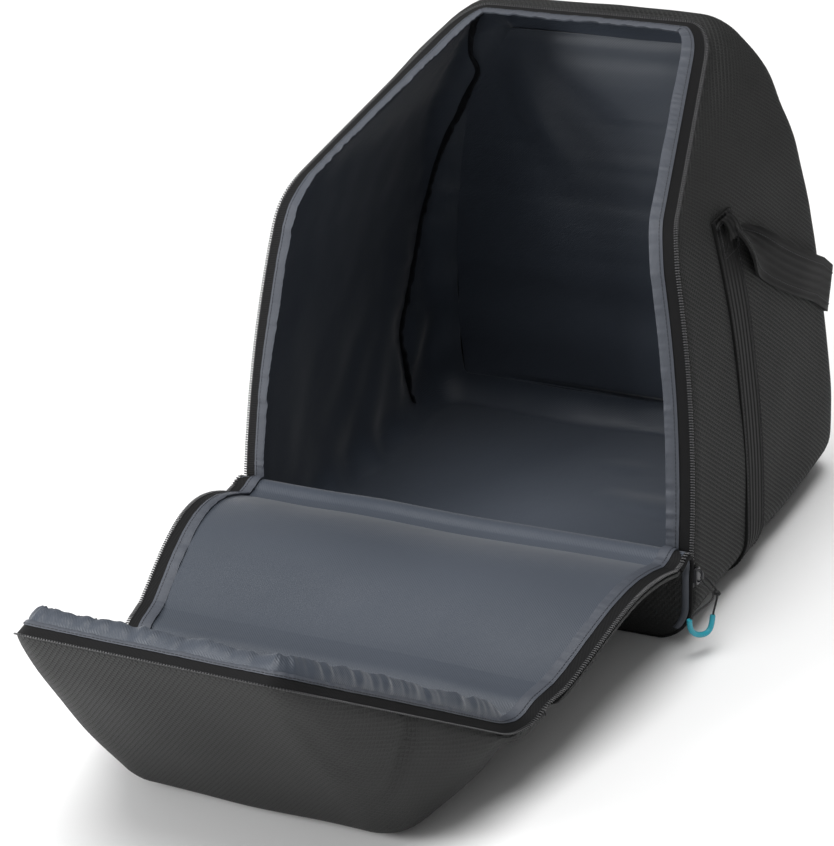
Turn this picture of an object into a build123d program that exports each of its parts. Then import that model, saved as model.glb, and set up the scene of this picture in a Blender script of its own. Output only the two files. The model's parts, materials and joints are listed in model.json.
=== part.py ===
"""Ski boot bag with a front flap that unzips and folds down onto the floor.

The bag is drawn closed. Then its flap is turned about two fabric folds to the open pose,
which is the pose of the exported solids. Millimetres, +Z up, the flap opens towards -Y,
and the origin is on the floor under the middle of the whole open bag.
"""
from math import cos, pi, radians, sin, tan
import os

from build123d import *

os.makedirs("parts", exist_ok=True)

# Closed bag, front view (X and Z)
HALF_BASE = 197.0
HALF_MID = 194.5
HALF_SHOULDER = 170.0
HALF_TOP = 110.0
SHOULDER_Z = 316.0
HEIGHT = 412.0
BASE_RADIUS = 40.0
SHOULDER_RADIUS = 90.0
TOP_RADIUS = 38.0

# Closed bag, side view (Y and Z)
SILL_FOOT_Y = -6.0
FOLD_Y = -10.0
FOLD_Z = 76.0
SHOULDER_Y = 34.0
TOP_ZIP_Y = 276.0
REAR_BASE_Y = 345.0
REAR_TOP_Y = 318.0
REAR_RADIUS = 34.0
ZIP_BEND_RADIUS = 50.0
HOOD_FRONT_Y = 21.5
HOOD_RADIUS = 36.0
HOOD_FOLD_Z = 288.0

# Room that the cutting blocks take beyond the bag
REACH = 120.0
SPAN = 260.0
MARGIN = 5.0
FRONT_LIMIT = -60.0

# Where the panels and linings meet one another
EDGE = 12.0
TOP_STRIP = 22.0
LINING_STRIP = 30.0
FLOOR_GAP = 6.0

# Layers of the wall, counted inwards from the outer face
SHELL = 3.5
LINING_IN = 3.8
LINING_OUT = 5.0
BOARD_OUT = 8.0
FLOOR_OUT = 9.2

# Zip lip, counted inwards from the outer face, and on each side of the zip surface
COIL = (0.2, 3.0)
TAPE = (3.3, 12.6)
BINDING = (12.9, 22.5)
HALF_GAP = 0.5
COIL_DEPTH = 3.3
TAPE_DEPTH = 1.5
BINDING_DEPTH = 1.6
WALL_START = 3.6
ZIP_BOTTOM_Z = 54.0
STOP_LENGTH = 3.5
RIM_LEAD = 0.3

# Flap panel layers in front of the zip surface
PANEL_LINING = (1.8, 3.0)
PANEL_SHELL = (3.3, 6.8)
SILL_SHELL = (0.5, 4.0)
SILL_LINING = (0.2, 1.4)
PANEL_COIL = 3.2
FOLD_GAP = 0.3

# How far the two folds are open
FLAP_OPEN = 105.4
HOOD_OPEN = 19.3

# Webbing on the sides and the strap behind the bag
WEBBING_WIDTH = 38.0
WEBBING_THICK = 1.8
WEBBING_GAP = 0.2
WEBBING_Y = 122.0
WEBBING_FOOT_Z = 9.0
WEBBING_TOP_Z = 306.0
STRAP_PIVOT = (126.0, 296.0)
STRAP_DROP = 27.5
STRAP_START = -12.0
STRAP_REACH = 247.0
STRAP_X_FRONT = 182.8
STRAP_X_REAR = 195.0
STRAP_CORNER = 36.0
STRAP_THICK = 2.4

# Slider that runs on the outer side of the right-hand zip, and its corded pull
SLIDER_Z = 61.0
SLIDER_CLEAR = 2.2
SLIDER_THICK = 2.4
SLIDER_WIDTH = 9.0
SLIDER_LENGTH = 14.0
SLIDER_CORNER = 3.2
SLIDER_EDGE = 0.8
ARCH_BORE = 1.7
ARCH_WALL = 1.3
ARCH_WIDTH = 3.0
CORD_D = 1.6
GRIP_D = 4.4
GRIP_BORE = 2.0
KNOT_SIZE = (5.4, 6.8, 5.0)
KNOT_AT = (216.6, -8.3, 48.6)
ARCH_X = 205.0

# Route of the pull cord: out of the arch, through the knot and the grip, and back
STRAND_OUT = [(205.0, -8.0, 61.0), (207.4, -5.2, 58.8), (213.0, -5.6, 53.0), (217.4, -6.6, 48.4)]
RIGHT_LEG = [(216.4, -8.8, 39.6), (214.8, -11.6, 30.6)]
GRIP_ROUTE = [(214.8, -13.6, 22.0), (212.8, -19.4, 17.4), (207.8, -28.2, 19.6), (204.2, -34.2, 27.4)]
LEFT_LEG = [(204.4, -33.8, 35.6), (208.6, -25.4, 40.2), (213.4, -15.8, 42.2)]
STRAND_BACK = [(216.2, -10.4, 47.4), (212.6, -12.0, 53.4), (207.4, -13.0, 58.6), (205.0, -10.4, 61.0)]

# The finished parts are shifted so that the origin is under the middle of the base
SHIFT_Y = -168.0


def section(inset):
    """Front outline of the closed bag, pulled in by inset."""
    right = ThreePointArc((HALF_BASE, 0), (HALF_MID, SHOULDER_Z / 2), (HALF_SHOULDER, SHOULDER_Z))
    right_roof = Line((HALF_SHOULDER, SHOULDER_Z), (HALF_TOP, HEIGHT))
    top = Line((HALF_TOP, HEIGHT), (-HALF_TOP, HEIGHT))
    left_roof = Line((-HALF_TOP, HEIGHT), (-HALF_SHOULDER, SHOULDER_Z))
    left = ThreePointArc((-HALF_SHOULDER, SHOULDER_Z), (-HALF_MID, SHOULDER_Z / 2), (-HALF_BASE, 0))
    floor = Line((-HALF_BASE, 0), (HALF_BASE, 0))
    face = make_face(Curve() + [right, right_roof, top, left_roof, left, floor])
    for level, radius in ((0, BASE_RADIUS), (SHOULDER_Z, SHOULDER_RADIUS), (HEIGHT, TOP_RADIUS)):
        corners = face.vertices().filter_by_position(Axis.Y, level - 1, level + 1)
        face = fillet(corners, radius)
    if inset:
        face = offset(face, amount=-inset)
    return face


def rear_plane(inset):
    """Outer face of the back, leaning forward towards the top."""
    lean = Vector(0, REAR_TOP_Y - REAR_BASE_Y, HEIGHT).normalized()
    normal = Vector(0, lean.Z, -lean.Y)
    return Plane(origin=Vector(0, REAR_BASE_Y, 0) - normal * inset, z_dir=normal)


def bag_block(inset):
    """Solid closed bag without its front, pulled in by inset."""
    length = REAR_BASE_Y + 2 * REACH
    block = extrude(Plane.XZ.offset(-REAR_BASE_Y - REACH) * section(inset), amount=length)
    block = split(block, bisect_by=rear_plane(inset), keep=Keep.BOTTOM)
    rear = block.faces().sort_by(Axis.Y)[-1]
    return fillet(rear.edges(), REAR_RADIUS - inset)


def hood_block(inset):
    """Solid of the moulded hood with its rounded front, pulled in by inset."""
    front = HOOD_FRONT_Y + inset
    block = extrude(Plane.XZ.offset(-front) * section(inset), amount=front - REAR_BASE_Y)
    face = block.faces().sort_by(Axis.Y)[0]
    return fillet(face.edges(), HOOD_RADIUS - inset)


def behind(gap):
    """Space behind the zip surface, starting gap behind it, or in front where gap is negative."""
    run = (TOP_ZIP_Y - SHOULDER_Y) / (HEIGHT - SHOULDER_Z)
    sill = (FOLD_Y - SILL_FOOT_Y) / FOLD_Z
    low = (SILL_FOOT_Y - sill * REACH, -REACH)
    high = (SHOULDER_Y + run * (HEIGHT - SHOULDER_Z + REACH), HEIGHT + REACH)
    far = REAR_BASE_Y + 4 * REACH
    bends = [low, (FOLD_Y, FOLD_Z), (SHOULDER_Y, SHOULDER_Z), high]
    outline = Polyline(*bends, (far, high[1]), (far, low[1]), close=True)
    face = make_face(outline)
    bend = face.vertices().filter_by_position(Axis.Y, SHOULDER_Z - 1, SHOULDER_Z + 1)
    face = fillet(bend, ZIP_BEND_RADIUS)
    if gap:
        face = offset(face, amount=-gap, kind=Kind.INTERSECTION)
    return extrude(Plane.YZ * face, amount=SPAN, both=True)


def between(low_z, high_z):
    """Wide slab between two heights."""
    return Pos(0, 0, (low_z + high_z) / 2) * Box(2 * SPAN, 4 * REAR_BASE_Y, high_z - low_z)


def span_x(low_x, high_x):
    """Tall slab between two X values."""
    return Pos((low_x + high_x) / 2, 0, 0) * Box(high_x - low_x, 4 * REAR_BASE_Y, 4 * HEIGHT)


def span_y(low_y, high_y):
    """Tall slab between two Y values."""
    return Pos(0, (low_y + high_y) / 2, 0) * Box(2 * SPAN, high_y - low_y, 4 * HEIGHT)


def turn(shape, pivot, angle):
    """Turn a shape about the X-parallel line through pivot, given as (y, z)."""
    axis = Axis((0, pivot[0], pivot[1]), (1, 0, 0))
    return shape.rotate(axis, angle)


def zip_y(z):
    """Y of the zip surface at a height under the shoulder."""
    if z < FOLD_Z:
        return SILL_FOOT_Y + (FOLD_Y - SILL_FOOT_Y) * z / FOLD_Z
    return FOLD_Y + (SHOULDER_Y - FOLD_Y) * (z - FOLD_Z) / (SHOULDER_Z - FOLD_Z)


def half_width(z):
    """Outer half width of the bag at a height under the shoulder."""
    part = z / SHOULDER_Z
    bulge = HALF_MID - (HALF_BASE + HALF_SHOULDER) / 2
    return HALF_BASE + (HALF_SHOULDER - HALF_BASE) * part + 4 * bulge * part * (1 - part)


bag = {inset: bag_block(inset) for inset in (0, SHELL, LINING_IN, LINING_OUT, BOARD_OUT, FLOOR_OUT)}
lip = {inset: bag_block(inset) for inset in COIL + TAPE + BINDING}
hood = {inset: hood_block(inset) for inset in (0, SHELL, LINING_IN, LINING_OUT)}
hood_lip = {inset: hood_block(inset) for inset in COIL + TAPE + BINDING}
FOLD = (FOLD_Y - PANEL_SHELL[1], FOLD_Z)
HOOD_FOLD = (zip_y(HOOD_FOLD_Z) - PANEL_SHELL[1], HOOD_FOLD_Z)
parts = {}


def body_panels():
    """Outer panels of the bag's body."""
    shell = (bag[0] - bag[SHELL]) & behind(WALL_START)
    low = between(-MARGIN, EDGE)
    middle = between(EDGE, HEIGHT - TOP_STRIP)
    high = between(HEIGHT - TOP_STRIP, HEIGHT + MARGIN)
    parts["base_panel"] = shell & low & span_y(FRONT_LIMIT, REAR_BASE_Y - EDGE)
    rear_low = shell & low & span_y(REAR_BASE_Y - EDGE, REAR_BASE_Y + MARGIN)
    rear_space = span_y(REAR_TOP_Y - EDGE, REAR_BASE_Y + MARGIN)
    parts["back_panel"] = (shell & middle & rear_space) + rear_low
    parts["top_rear_panel"] = shell & high
    side_space = span_y(FRONT_LIMIT, REAR_TOP_Y - EDGE) & middle
    parts["side_panel_right"] = shell & side_space & span_x(0, SPAN)
    parts["side_panel_left"] = shell & side_space & span_x(-SPAN, 0)


def body_lining():
    """Lining of the bag's body and the board under its floor."""
    skin = (bag[LINING_IN] - bag[LINING_OUT]) & behind(TAPE_DEPTH + RIM_LEAD)
    low = BASE_RADIUS
    middle = between(EDGE, HEIGHT - LINING_STRIP)
    parts["lining_back"] = skin & middle & span_y(REAR_TOP_Y - EDGE, REAR_BASE_Y)
    parts["lining_top"] = skin & between(HEIGHT - LINING_STRIP, HEIGHT)
    side_space = middle & span_y(FRONT_LIMIT, REAR_TOP_Y - EDGE)
    parts["lining_right"] = skin & side_space & span_x(0, SPAN)
    parts["lining_left"] = skin & side_space & span_x(-SPAN, 0)
    flat = behind(FLOOR_GAP) & span_y(FRONT_LIMIT, REAR_BASE_Y - low)
    flat = flat & span_x(low - HALF_BASE, HALF_BASE - low) & between(0, EDGE)
    parts["base_board"] = (bag[LINING_OUT] - bag[BOARD_OUT]) & flat
    parts["lining_floor"] = (bag[BOARD_OUT] - bag[FLOOR_OUT]) & flat


def sill():
    """Low front wall that the flap folds over, its lining and its edge binding."""
    slab = behind(-SILL_SHELL[1]) - behind(-SILL_SHELL[0])
    parts["sill_panel"] = slab & bag[0] & between(-MARGIN, FOLD_Z - FOLD_GAP)
    edge = lip[COIL[0]] - lip[COIL[1]]
    rim = behind(-RIM_LEAD) - behind(COIL_DEPTH)
    seam_top = ZIP_BOTTOM_Z - STOP_LENGTH - 2 * RIM_LEAD
    parts["sill_seam_binding"] = edge & rim & between(-MARGIN, seam_top)
    skin = behind(SILL_LINING[0]) - behind(SILL_LINING[1])
    parts["lining_sill"] = skin & bag[LINING_OUT] & between(EDGE, ZIP_BOTTOM_Z - TAPE_DEPTH)


def body_zip():
    """Zip half, its tape and the binding along the body's opening."""
    above = between(ZIP_BOTTOM_Z, HEIGHT + MARGIN)
    coil = (lip[COIL[0]] - lip[COIL[1]]) & (behind(HALF_GAP) - behind(COIL_DEPTH))
    tape = (lip[TAPE[0]] - lip[TAPE[1]]) & (behind(HALF_GAP) - behind(TAPE_DEPTH))
    trim = (lip[BINDING[0]] - lip[BINDING[1]]) & (behind(HALF_GAP) - behind(BINDING_DEPTH))
    parts["zip_coil_body"] = coil & above
    parts["zip_tape_body"] = tape & above
    parts["rim_binding_body"] = trim & above
    ends = (lip[COIL[0]] - lip[COIL[1]]) & (behind(-RIM_LEAD) - behind(COIL_DEPTH))
    stop_top = ZIP_BOTTOM_Z - RIM_LEAD
    parts["zip_end_stops"] = ends & between(stop_top - STOP_LENGTH, stop_top)


def flap_panel():
    """Lower panel of the flap, from the fold over the sill to the fold under the hood."""
    zone = between(FOLD_Z + FOLD_GAP, HOOD_FOLD_Z - FOLD_GAP)
    shell = (behind(-PANEL_SHELL[1]) - behind(-PANEL_SHELL[0])) & bag[0] & zone
    skin = (behind(-PANEL_LINING[1]) - behind(-PANEL_LINING[0])) & lip[TAPE[0]] & zone
    coil = (behind(-PANEL_COIL) - behind(-HALF_GAP)) & (lip[COIL[0]] - lip[COIL[1]]) & zone
    tape = (behind(-TAPE_DEPTH) - behind(-HALF_GAP)) & (lip[TAPE[0]] - lip[TAPE[1]]) & zone
    trim = (behind(-BINDING_DEPTH) - behind(-HALF_GAP)) & (lip[BINDING[0]] - lip[BINDING[1]]) & zone
    made = {
        "front_panel_shell": shell,
        "front_panel_lining": skin,
        "front_zip_coil": coil,
        "front_zip_tape": tape,
        "front_binding": trim,
    }
    for name, shape in made.items():
        parts[name] = turn(shape, FOLD, FLAP_OPEN)


def hood_pieces():
    """Moulded hood of the flap with its lining and zip half."""
    zone = between(HOOD_FOLD_Z + FOLD_GAP, HEIGHT + MARGIN)
    shell = (hood[0] - hood[SHELL]) - behind(-WALL_START)
    skin = (hood[LINING_IN] - hood[LINING_OUT]) - behind(-TAPE_DEPTH - RIM_LEAD)
    coil = (hood_lip[COIL[0]] - hood_lip[COIL[1]]) & (behind(-COIL_DEPTH) - behind(-HALF_GAP))
    tape = (hood_lip[TAPE[0]] - hood_lip[TAPE[1]]) & (behind(-TAPE_DEPTH) - behind(-HALF_GAP))
    trim_zone = behind(-BINDING_DEPTH) - behind(-HALF_GAP)
    trim = (hood_lip[BINDING[0]] - hood_lip[BINDING[1]]) & trim_zone
    made = {
        "hood_shell": shell,
        "hood_lining": skin,
        "hood_zip_coil": coil,
        "hood_zip_tape": tape,
        "hood_binding": trim,
    }
    for name, shape in made.items():
        opened = turn(shape & zone, HOOD_FOLD, HOOD_OPEN)
        parts[name] = turn(opened, FOLD, FLAP_OPEN)


def side_webbing():
    """Webbing sewn down each side of the body."""
    band = bag_block(-WEBBING_THICK - WEBBING_GAP) - bag_block(-WEBBING_GAP)
    half = WEBBING_WIDTH / 2
    strip = band & span_y(WEBBING_Y - half, WEBBING_Y + half) & between(WEBBING_FOOT_Z, WEBBING_TOP_Z)
    parts["side_webbing_right"] = strip & span_x(HALF_TOP, SPAN)
    parts["side_webbing_left"] = strip & span_x(-SPAN, -HALF_TOP)


def carry_strap():
    """Carry strap from the top of one side webbing round behind the bag to the other."""
    drop = radians(STRAP_DROP)
    pivot = Vector(0, STRAP_PIVOT[0], STRAP_PIVOT[1])
    along = Vector(0, cos(drop), -sin(drop))
    across = Vector(0, sin(drop), cos(drop))
    plane = Plane(origin=pivot - across * (WEBBING_WIDTH / 2), x_dir=(1, 0, 0), z_dir=across)
    side = 1 if plane.y_dir.dot(along) > 0 else -1
    slope = (STRAP_X_REAR - STRAP_X_FRONT) / STRAP_REACH
    start_x = STRAP_X_FRONT + slope * STRAP_START

    def outline(grow):
        corners = [
            (start_x + grow, side * STRAP_START),
            (STRAP_X_REAR + grow, side * (STRAP_REACH + grow)),
            (-STRAP_X_REAR - grow, side * (STRAP_REACH + grow)),
            (-start_x - grow, side * STRAP_START),
        ]
        face = make_face(Polyline(*corners, close=True))
        far = face.vertices().sort_by(Axis.Y)
        far = far[-2:] if side > 0 else far[:2]
        return fillet(far, STRAP_CORNER + grow)

    band = outline(STRAP_THICK) - outline(0)
    parts["carry_strap"] = extrude(plane * band, amount=WEBBING_WIDTH)


def slider():
    """Zip slider with the arch that its pull hangs from."""
    inner = half_width(SLIDER_Z) + SLIDER_CLEAR
    outer = inner + SLIDER_THICK
    middle_y = zip_y(SLIDER_Z)
    plate = Box(SLIDER_THICK, SLIDER_WIDTH, SLIDER_LENGTH)
    plate = fillet(plate.edges().filter_by(Axis.X), SLIDER_CORNER)
    plate = fillet(plate.faces().sort_by(Axis.X)[-1].edges(), SLIDER_EDGE)
    parts["slider_plate"] = Pos(inner + SLIDER_THICK / 2, middle_y, SLIDER_Z) * plate
    radius = ARCH_BORE + ARCH_WALL
    ring = Cylinder(radius, ARCH_WIDTH) - Cylinder(ARCH_BORE, ARCH_WIDTH)
    ring = Pos(ARCH_X, middle_y, SLIDER_Z) * Rot(90, 0, 0) * ring
    foot = Pos((ARCH_X + outer) / 2, middle_y, SLIDER_Z) * Box(abs(ARCH_X - outer), ARCH_WIDTH, 2 * radius)
    bore = Pos(ARCH_X, middle_y, SLIDER_Z) * Rot(90, 0, 0) * Cylinder(ARCH_BORE, 2 * ARCH_WIDTH)
    outside = Pos(outer + SPAN / 2, middle_y, SLIDER_Z) * Box(SPAN, SPAN, SPAN)
    parts["slider_arch"] = ((ring + foot) - bore) & outside


def tube(route, diameter, label):
    """Round tube along straight runs and the largest tangent arcs that they allow."""
    points = [Vector(*point) for point in route]
    radii = []
    for before, here, after in zip(points, points[1:], points[2:]):
        turned = radians((here - before).get_angle(after - here))
        shorter = min((here - before).length, (after - here).length)
        radii.append(0.45 * shorter / tan(turned / 2))
    path = FilletPolyline(*points, radius=radii)
    start = Plane(origin=path @ 0, z_dir=path % 0)
    solid = sweep(start * Circle(diameter / 2), path=path)
    ratio = solid.volume / (pi * diameter**2 / 4 * path.length)
    print(label, "radii", [round(radius, 1) for radius in radii], "length", round(path.length, 1))
    print(label, "volume over section times length", round(ratio, 3))
    return solid


def pull():
    """Cord, knot and tube grip that hang from the slider's arch."""
    route = STRAND_OUT + RIGHT_LEG + GRIP_ROUTE + LEFT_LEG + STRAND_BACK
    parts["pull_cord"] = tube(route, CORD_D, "pull_cord")
    grip_route = RIGHT_LEG[-1:] + GRIP_ROUTE + LEFT_LEG[:1]
    outer = tube(grip_route, GRIP_D, "pull_grip")
    bore = tube(grip_route, GRIP_BORE, "pull_grip bore")
    parts["pull_grip"] = outer - bore
    knot = Sphere(0.5)
    parts["pull_knot"] = Pos(*KNOT_AT) * scale(knot, by=KNOT_SIZE)


body_panels()
body_lining()
sill()
body_zip()
flap_panel()
hood_pieces()
side_webbing()
carry_strap()
slider()
pull()

for name, shape in parts.items():
    shape = Pos(0, SHIFT_Y, 0) * shape
    export_step(shape, f"parts/{name}.step")
    box = shape.bounding_box()
    print(name, len(shape.solids()), round(shape.volume), box.min, box.max)
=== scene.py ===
"""Ski boot bag, flap folded open on the floor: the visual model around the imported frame.

Lengths are in millimetres in the bag's own drawing, where the closed bag's front foot is near
y = 0. place() turns them into metres in the frame. The flap is drawn closed and opened by the
two fold angles that the frame's joints give.
"""
import json
from math import cos, pi, radians, sin, tan

import bpy
import numpy as np
from mathutils import Matrix, Vector, noise


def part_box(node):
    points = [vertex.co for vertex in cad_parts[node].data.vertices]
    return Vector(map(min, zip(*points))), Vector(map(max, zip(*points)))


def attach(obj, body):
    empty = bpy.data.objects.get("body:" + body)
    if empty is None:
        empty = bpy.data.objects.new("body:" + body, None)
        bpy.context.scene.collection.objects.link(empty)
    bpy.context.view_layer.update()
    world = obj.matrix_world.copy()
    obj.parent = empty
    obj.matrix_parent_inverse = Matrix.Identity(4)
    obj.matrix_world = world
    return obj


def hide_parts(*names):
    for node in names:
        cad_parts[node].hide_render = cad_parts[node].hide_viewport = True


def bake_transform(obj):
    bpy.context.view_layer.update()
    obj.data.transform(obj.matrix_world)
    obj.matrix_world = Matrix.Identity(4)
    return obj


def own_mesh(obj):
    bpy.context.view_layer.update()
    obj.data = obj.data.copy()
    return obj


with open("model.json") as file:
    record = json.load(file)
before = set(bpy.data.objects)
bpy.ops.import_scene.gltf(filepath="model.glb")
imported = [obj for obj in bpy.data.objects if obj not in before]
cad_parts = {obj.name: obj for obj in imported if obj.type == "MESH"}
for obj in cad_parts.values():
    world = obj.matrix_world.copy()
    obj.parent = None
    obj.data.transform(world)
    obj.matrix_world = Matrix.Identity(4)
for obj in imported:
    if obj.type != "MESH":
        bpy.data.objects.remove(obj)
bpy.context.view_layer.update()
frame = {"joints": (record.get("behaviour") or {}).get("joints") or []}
JOINTS = {joint["name"]: joint for joint in frame["joints"]}

# ---------------------------------------------------------------- driving dimensions
MM = 0.001
HALF_BASE = 197.0
HALF_MID = 194.5
HALF_SHOULDER = 170.0
HALF_TOP = 110.0
SHOULDER_Z = 316.0
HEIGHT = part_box("top_rear_panel")[1].z / MM
BASE_RADIUS = 40.0
SHOULDER_RADIUS = 90.0
TOP_RADIUS = 38.0
SILL_FOOT_Y = -6.0
FOLD_Y = -10.0
FOLD_Z = JOINTS["flap_fold"]["pos_m"][2] / MM
SHOULDER_Y = 34.0
TOP_ZIP_Y = 276.0
REAR_BASE_Y = 345.0
REAR_TOP_Y = 318.0
REAR_RADIUS = 34.0
ZIP_BEND = 50.0
HOOD_FRONT_Y = 21.5
HOOD_RADIUS = 36.0
HOOD_FOLD_Z = 288.0
PANEL_DEPTH = 6.8
ZIP_BOTTOM_Z = 54.0
SHIFT_Y = -168.0
FLAP_OPEN = -JOINTS["flap_fold"]["range_deg"][0]
HOOD_OPEN = -JOINTS["hood_fold"]["range_deg"][0]
COIL_INSET = 1.6
TAPE_BAND = (0.9, 10.6)
BINDING_BAND = (10.0, 20.4)
OUTLINE_STEP = 6.0
FLOOR_CLEAR = 0.15
SHELL_THICK = 3.0
LINING_THICK = 1.0


# ---------------------------------------------------------------- lines
def unit(vectors):
    """Vectors scaled to length 1."""
    return vectors / np.linalg.norm(vectors, axis=-1, keepdims=True)


def smooth(t):
    """Smooth step from 0 to 1."""
    t = np.clip(t, 0, 1)
    return t * t * (3 - 2 * t)


def from_ends(count):
    """Each index's distance from the nearer end of a row."""
    return np.minimum(np.arange(count), np.arange(count)[::-1])


def along(points):
    """Length along a line of points."""
    return np.concatenate([[0], np.cumsum(np.linalg.norm(np.diff(points, axis=0), axis=1))])


def resample(path, step, dims=None):
    """Points evenly spaced along a polyline, by the length of its first dims columns."""
    lengths = along(path[:, :dims])
    at = np.linspace(0, lengths[-1], max(2, int(round(lengths[-1] / step)) + 1))
    return np.stack([np.interp(at, lengths, column) for column in path.T], axis=1)


def rounded(points, radii, step):
    """Polyline with arcs of these radii at its inner corners, resampled at about one step."""
    points = np.array(points, float)
    path = [points[0]]
    for before, here, after, radius in zip(points, points[1:], points[2:], radii):
        if not radius:
            path.append(here)
            continue
        u, v = unit(before - here), unit(after - here)
        half = np.arccos(np.clip(u @ v, -1, 1)) / 2
        centre = here + unit(u + v) * radius / sin(half)
        start = here + u * radius / tan(half) - centre
        end = here + v * radius / tan(half) - centre
        sweep = pi - 2 * half
        for w in np.linspace(0, 1, 13):
            path.append(centre + (start * sin((1 - w) * sweep) + end * sin(w * sweep)) / sin(sweep))
    return resample(np.array([*path, points[-1]]), step)


# ---------------------------------------------------------------- outline and zip surface
def half_width(z):
    """Outer half width of the bag under the shoulder."""
    part = np.asarray(z) / SHOULDER_Z
    bulge = HALF_MID - (HALF_BASE + HALF_SHOULDER) / 2
    return HALF_BASE + (HALF_SHOULDER - HALF_BASE) * part + 4 * bulge * part * (1 - part)


def half_outline(step=OUTLINE_STEP):
    """Right half of the front outline, from the middle of the base up to the middle of the top."""
    side = [(half_width(z), z) for z in np.linspace(50, 290, 13)]
    top = [(HALF_SHOULDER, SHOULDER_Z), (HALF_TOP, HEIGHT), (0, HEIGHT)]
    radii = [BASE_RADIUS] + [0] * len(side) + [SHOULDER_RADIUS, TOP_RADIUS]
    return rounded([(0, 0), (half_width(8), 0), *side, *top], radii, step)


def full_outline(step=OUTLINE_STEP):
    """Closed front outline: up the right side, over the top and down the left side."""
    right = half_outline(step)
    return np.concatenate([right, right[-2::-1] * [-1, 1]])


def normals_2d(path):
    """Outward unit normals of the outline."""
    return unit(np.gradient(path, axis=0))[:, ::-1] * [1, -1]


def zip_profile():
    """Side view of the zip surface as (y, z), rounded at the shoulder and run on past the top."""
    beyond = 60
    slope = (TOP_ZIP_Y - SHOULDER_Y) / (HEIGHT - SHOULDER_Z)
    far = (SHOULDER_Y + slope * (HEIGHT - SHOULDER_Z + beyond), HEIGHT + beyond)
    points = [(SILL_FOOT_Y, 0), (FOLD_Y, FOLD_Z), (SHOULDER_Y, SHOULDER_Z), far]
    return rounded(points, [60, ZIP_BEND], 2.0)


RING = full_outline()
RING_NORMALS = normals_2d(RING)
HALF = len(RING) // 2
ZIP_PATH = zip_profile()


def zip_y(z):
    """Y of the zip surface at a height."""
    return np.interp(z, ZIP_PATH[:, 1], ZIP_PATH[:, 0])


def zip_normal(z):
    """Unit normal (y, z) of the zip surface, pointing forward and up out of the bag."""
    dy = zip_y(np.asarray(z) + 1.0) - zip_y(np.asarray(z) - 1.0)
    size = np.hypot(dy, 2.0)
    return np.stack([-2.0 / size, dy / size], axis=-1)


def rear_y(z):
    """Y of the back's outer face at a height."""
    return REAR_BASE_Y + (REAR_TOP_Y - REAR_BASE_Y) * np.asarray(z) / HEIGHT


# ---------------------------------------------------------------- placing and folding
FOLD = (JOINTS["flap_fold"]["pos_m"][1] / MM - SHIFT_Y, FOLD_Z)
HOOD_RISE = (HOOD_FOLD_Z - FOLD_Z) / (SHOULDER_Z - FOLD_Z)
HOOD_FOLD = (FOLD_Y + (SHOULDER_Y - FOLD_Y) * HOOD_RISE - PANEL_DEPTH, HOOD_FOLD_Z)
FOLD_ZONE = (63.0, 89.0)
HOOD_ZONE = (276.0, 300.0)


def place(points):
    """From the drawing's millimetres to the frame's metres."""
    return (np.asarray(points, float) + np.array([0, SHIFT_Y, 0])) * MM


def turned(points, pivot, angle):
    """Points turned about the X-parallel line through pivot (y, z), by degrees."""
    c, s = np.cos(np.radians(angle)), np.sin(np.radians(angle))
    y, z = points[..., 1] - pivot[0], points[..., 2] - pivot[1]
    return np.stack([points[..., 0], pivot[0] + y * c - z * s, pivot[1] + y * s + z * c], axis=-1)


def bend_flap(points, level):
    """From the closed drawing to the open pose; level is each point's height on the closed zip surface."""
    points = np.array(points, float)
    level = np.broadcast_to(level, points.shape[:-1])
    for pivot, (low, high), angle in ((HOOD_FOLD, HOOD_ZONE, HOOD_OPEN), (FOLD, FOLD_ZONE, FLAP_OPEN)):
        points = turned(points, pivot, smooth((level - low) / (high - low)) * angle)
    return points


def above_floor(grid, clear=FLOOR_CLEAR):
    """The grid with no point lower than clear."""
    grid = grid.copy()
    grid[..., 2] = np.maximum(grid[..., 2], clear)
    return grid


# ---------------------------------------------------------------- softness
def rough(points, size, seed):
    """Smooth noise between about -1 and 1 at each point, features about size across."""
    points = np.asarray(points, float)
    shift = Vector((seed * 7.3, seed * 3.1, seed * 5.7))
    made = [noise.noise(Vector(p) / size + shift) for p in points.reshape(-1, 3)]
    return np.array(made).reshape(points.shape[:-1])


def gathers(length, size, seed):
    """Small gathers along a band."""
    return np.array([noise.noise(Vector((s / size, seed * 3.7, 0.5))) for s in length])


def ridge(points, a, b, width):
    """Bell-shaped weight around the line from a to b, fading at its ends."""
    a, d = np.array(a, float), np.subtract(b, a).astype(float)
    t = np.clip(((points - a) @ d) / (d @ d), 0, 1)
    away = np.linalg.norm(points - (a + t[..., None] * d), axis=-1)
    return np.exp(-(away / width) ** 2) * np.sin(pi * np.clip(t * 0.94 + 0.03, 0, 1)) ** 0.5


def grid_normals(grid):
    """Unit normals of a grid of points: its columns' direction crossed with its rows' direction."""
    n = np.cross(np.gradient(grid, axis=1), np.gradient(grid, axis=0))
    return n / np.maximum(np.linalg.norm(n, axis=-1)[..., None], 1e-9)


# ---------------------------------------------------------------- mesh building
def arc_coordinates(grid):
    """Flat cloth coordinates of a grid in metres, from its own arc lengths."""
    rows, cols = grid.shape[:2]
    du = np.linalg.norm(np.diff(grid, axis=1), axis=-1)
    dv = np.linalg.norm(np.diff(grid, axis=0), axis=-1)
    u = np.concatenate([np.zeros((rows, 1)), np.cumsum(du, axis=1)], axis=1)
    v = np.concatenate([np.zeros((1, cols)), np.cumsum(dv, axis=0)], axis=0)
    return np.stack([u - u[:, cols // 2][:, None], v], axis=-1) * MM


def wall_coordinates(grid, way):
    """Cloth coordinates of a wall: along the outline, and in depth with the grain square to the zip."""
    v = grid[0, :, 1] + arc_coordinates(grid)[..., 1] / MM * way
    return np.stack([np.broadcast_to(along(grid[0][:, [0, 2]]), v.shape), v], axis=-1) * MM


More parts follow.
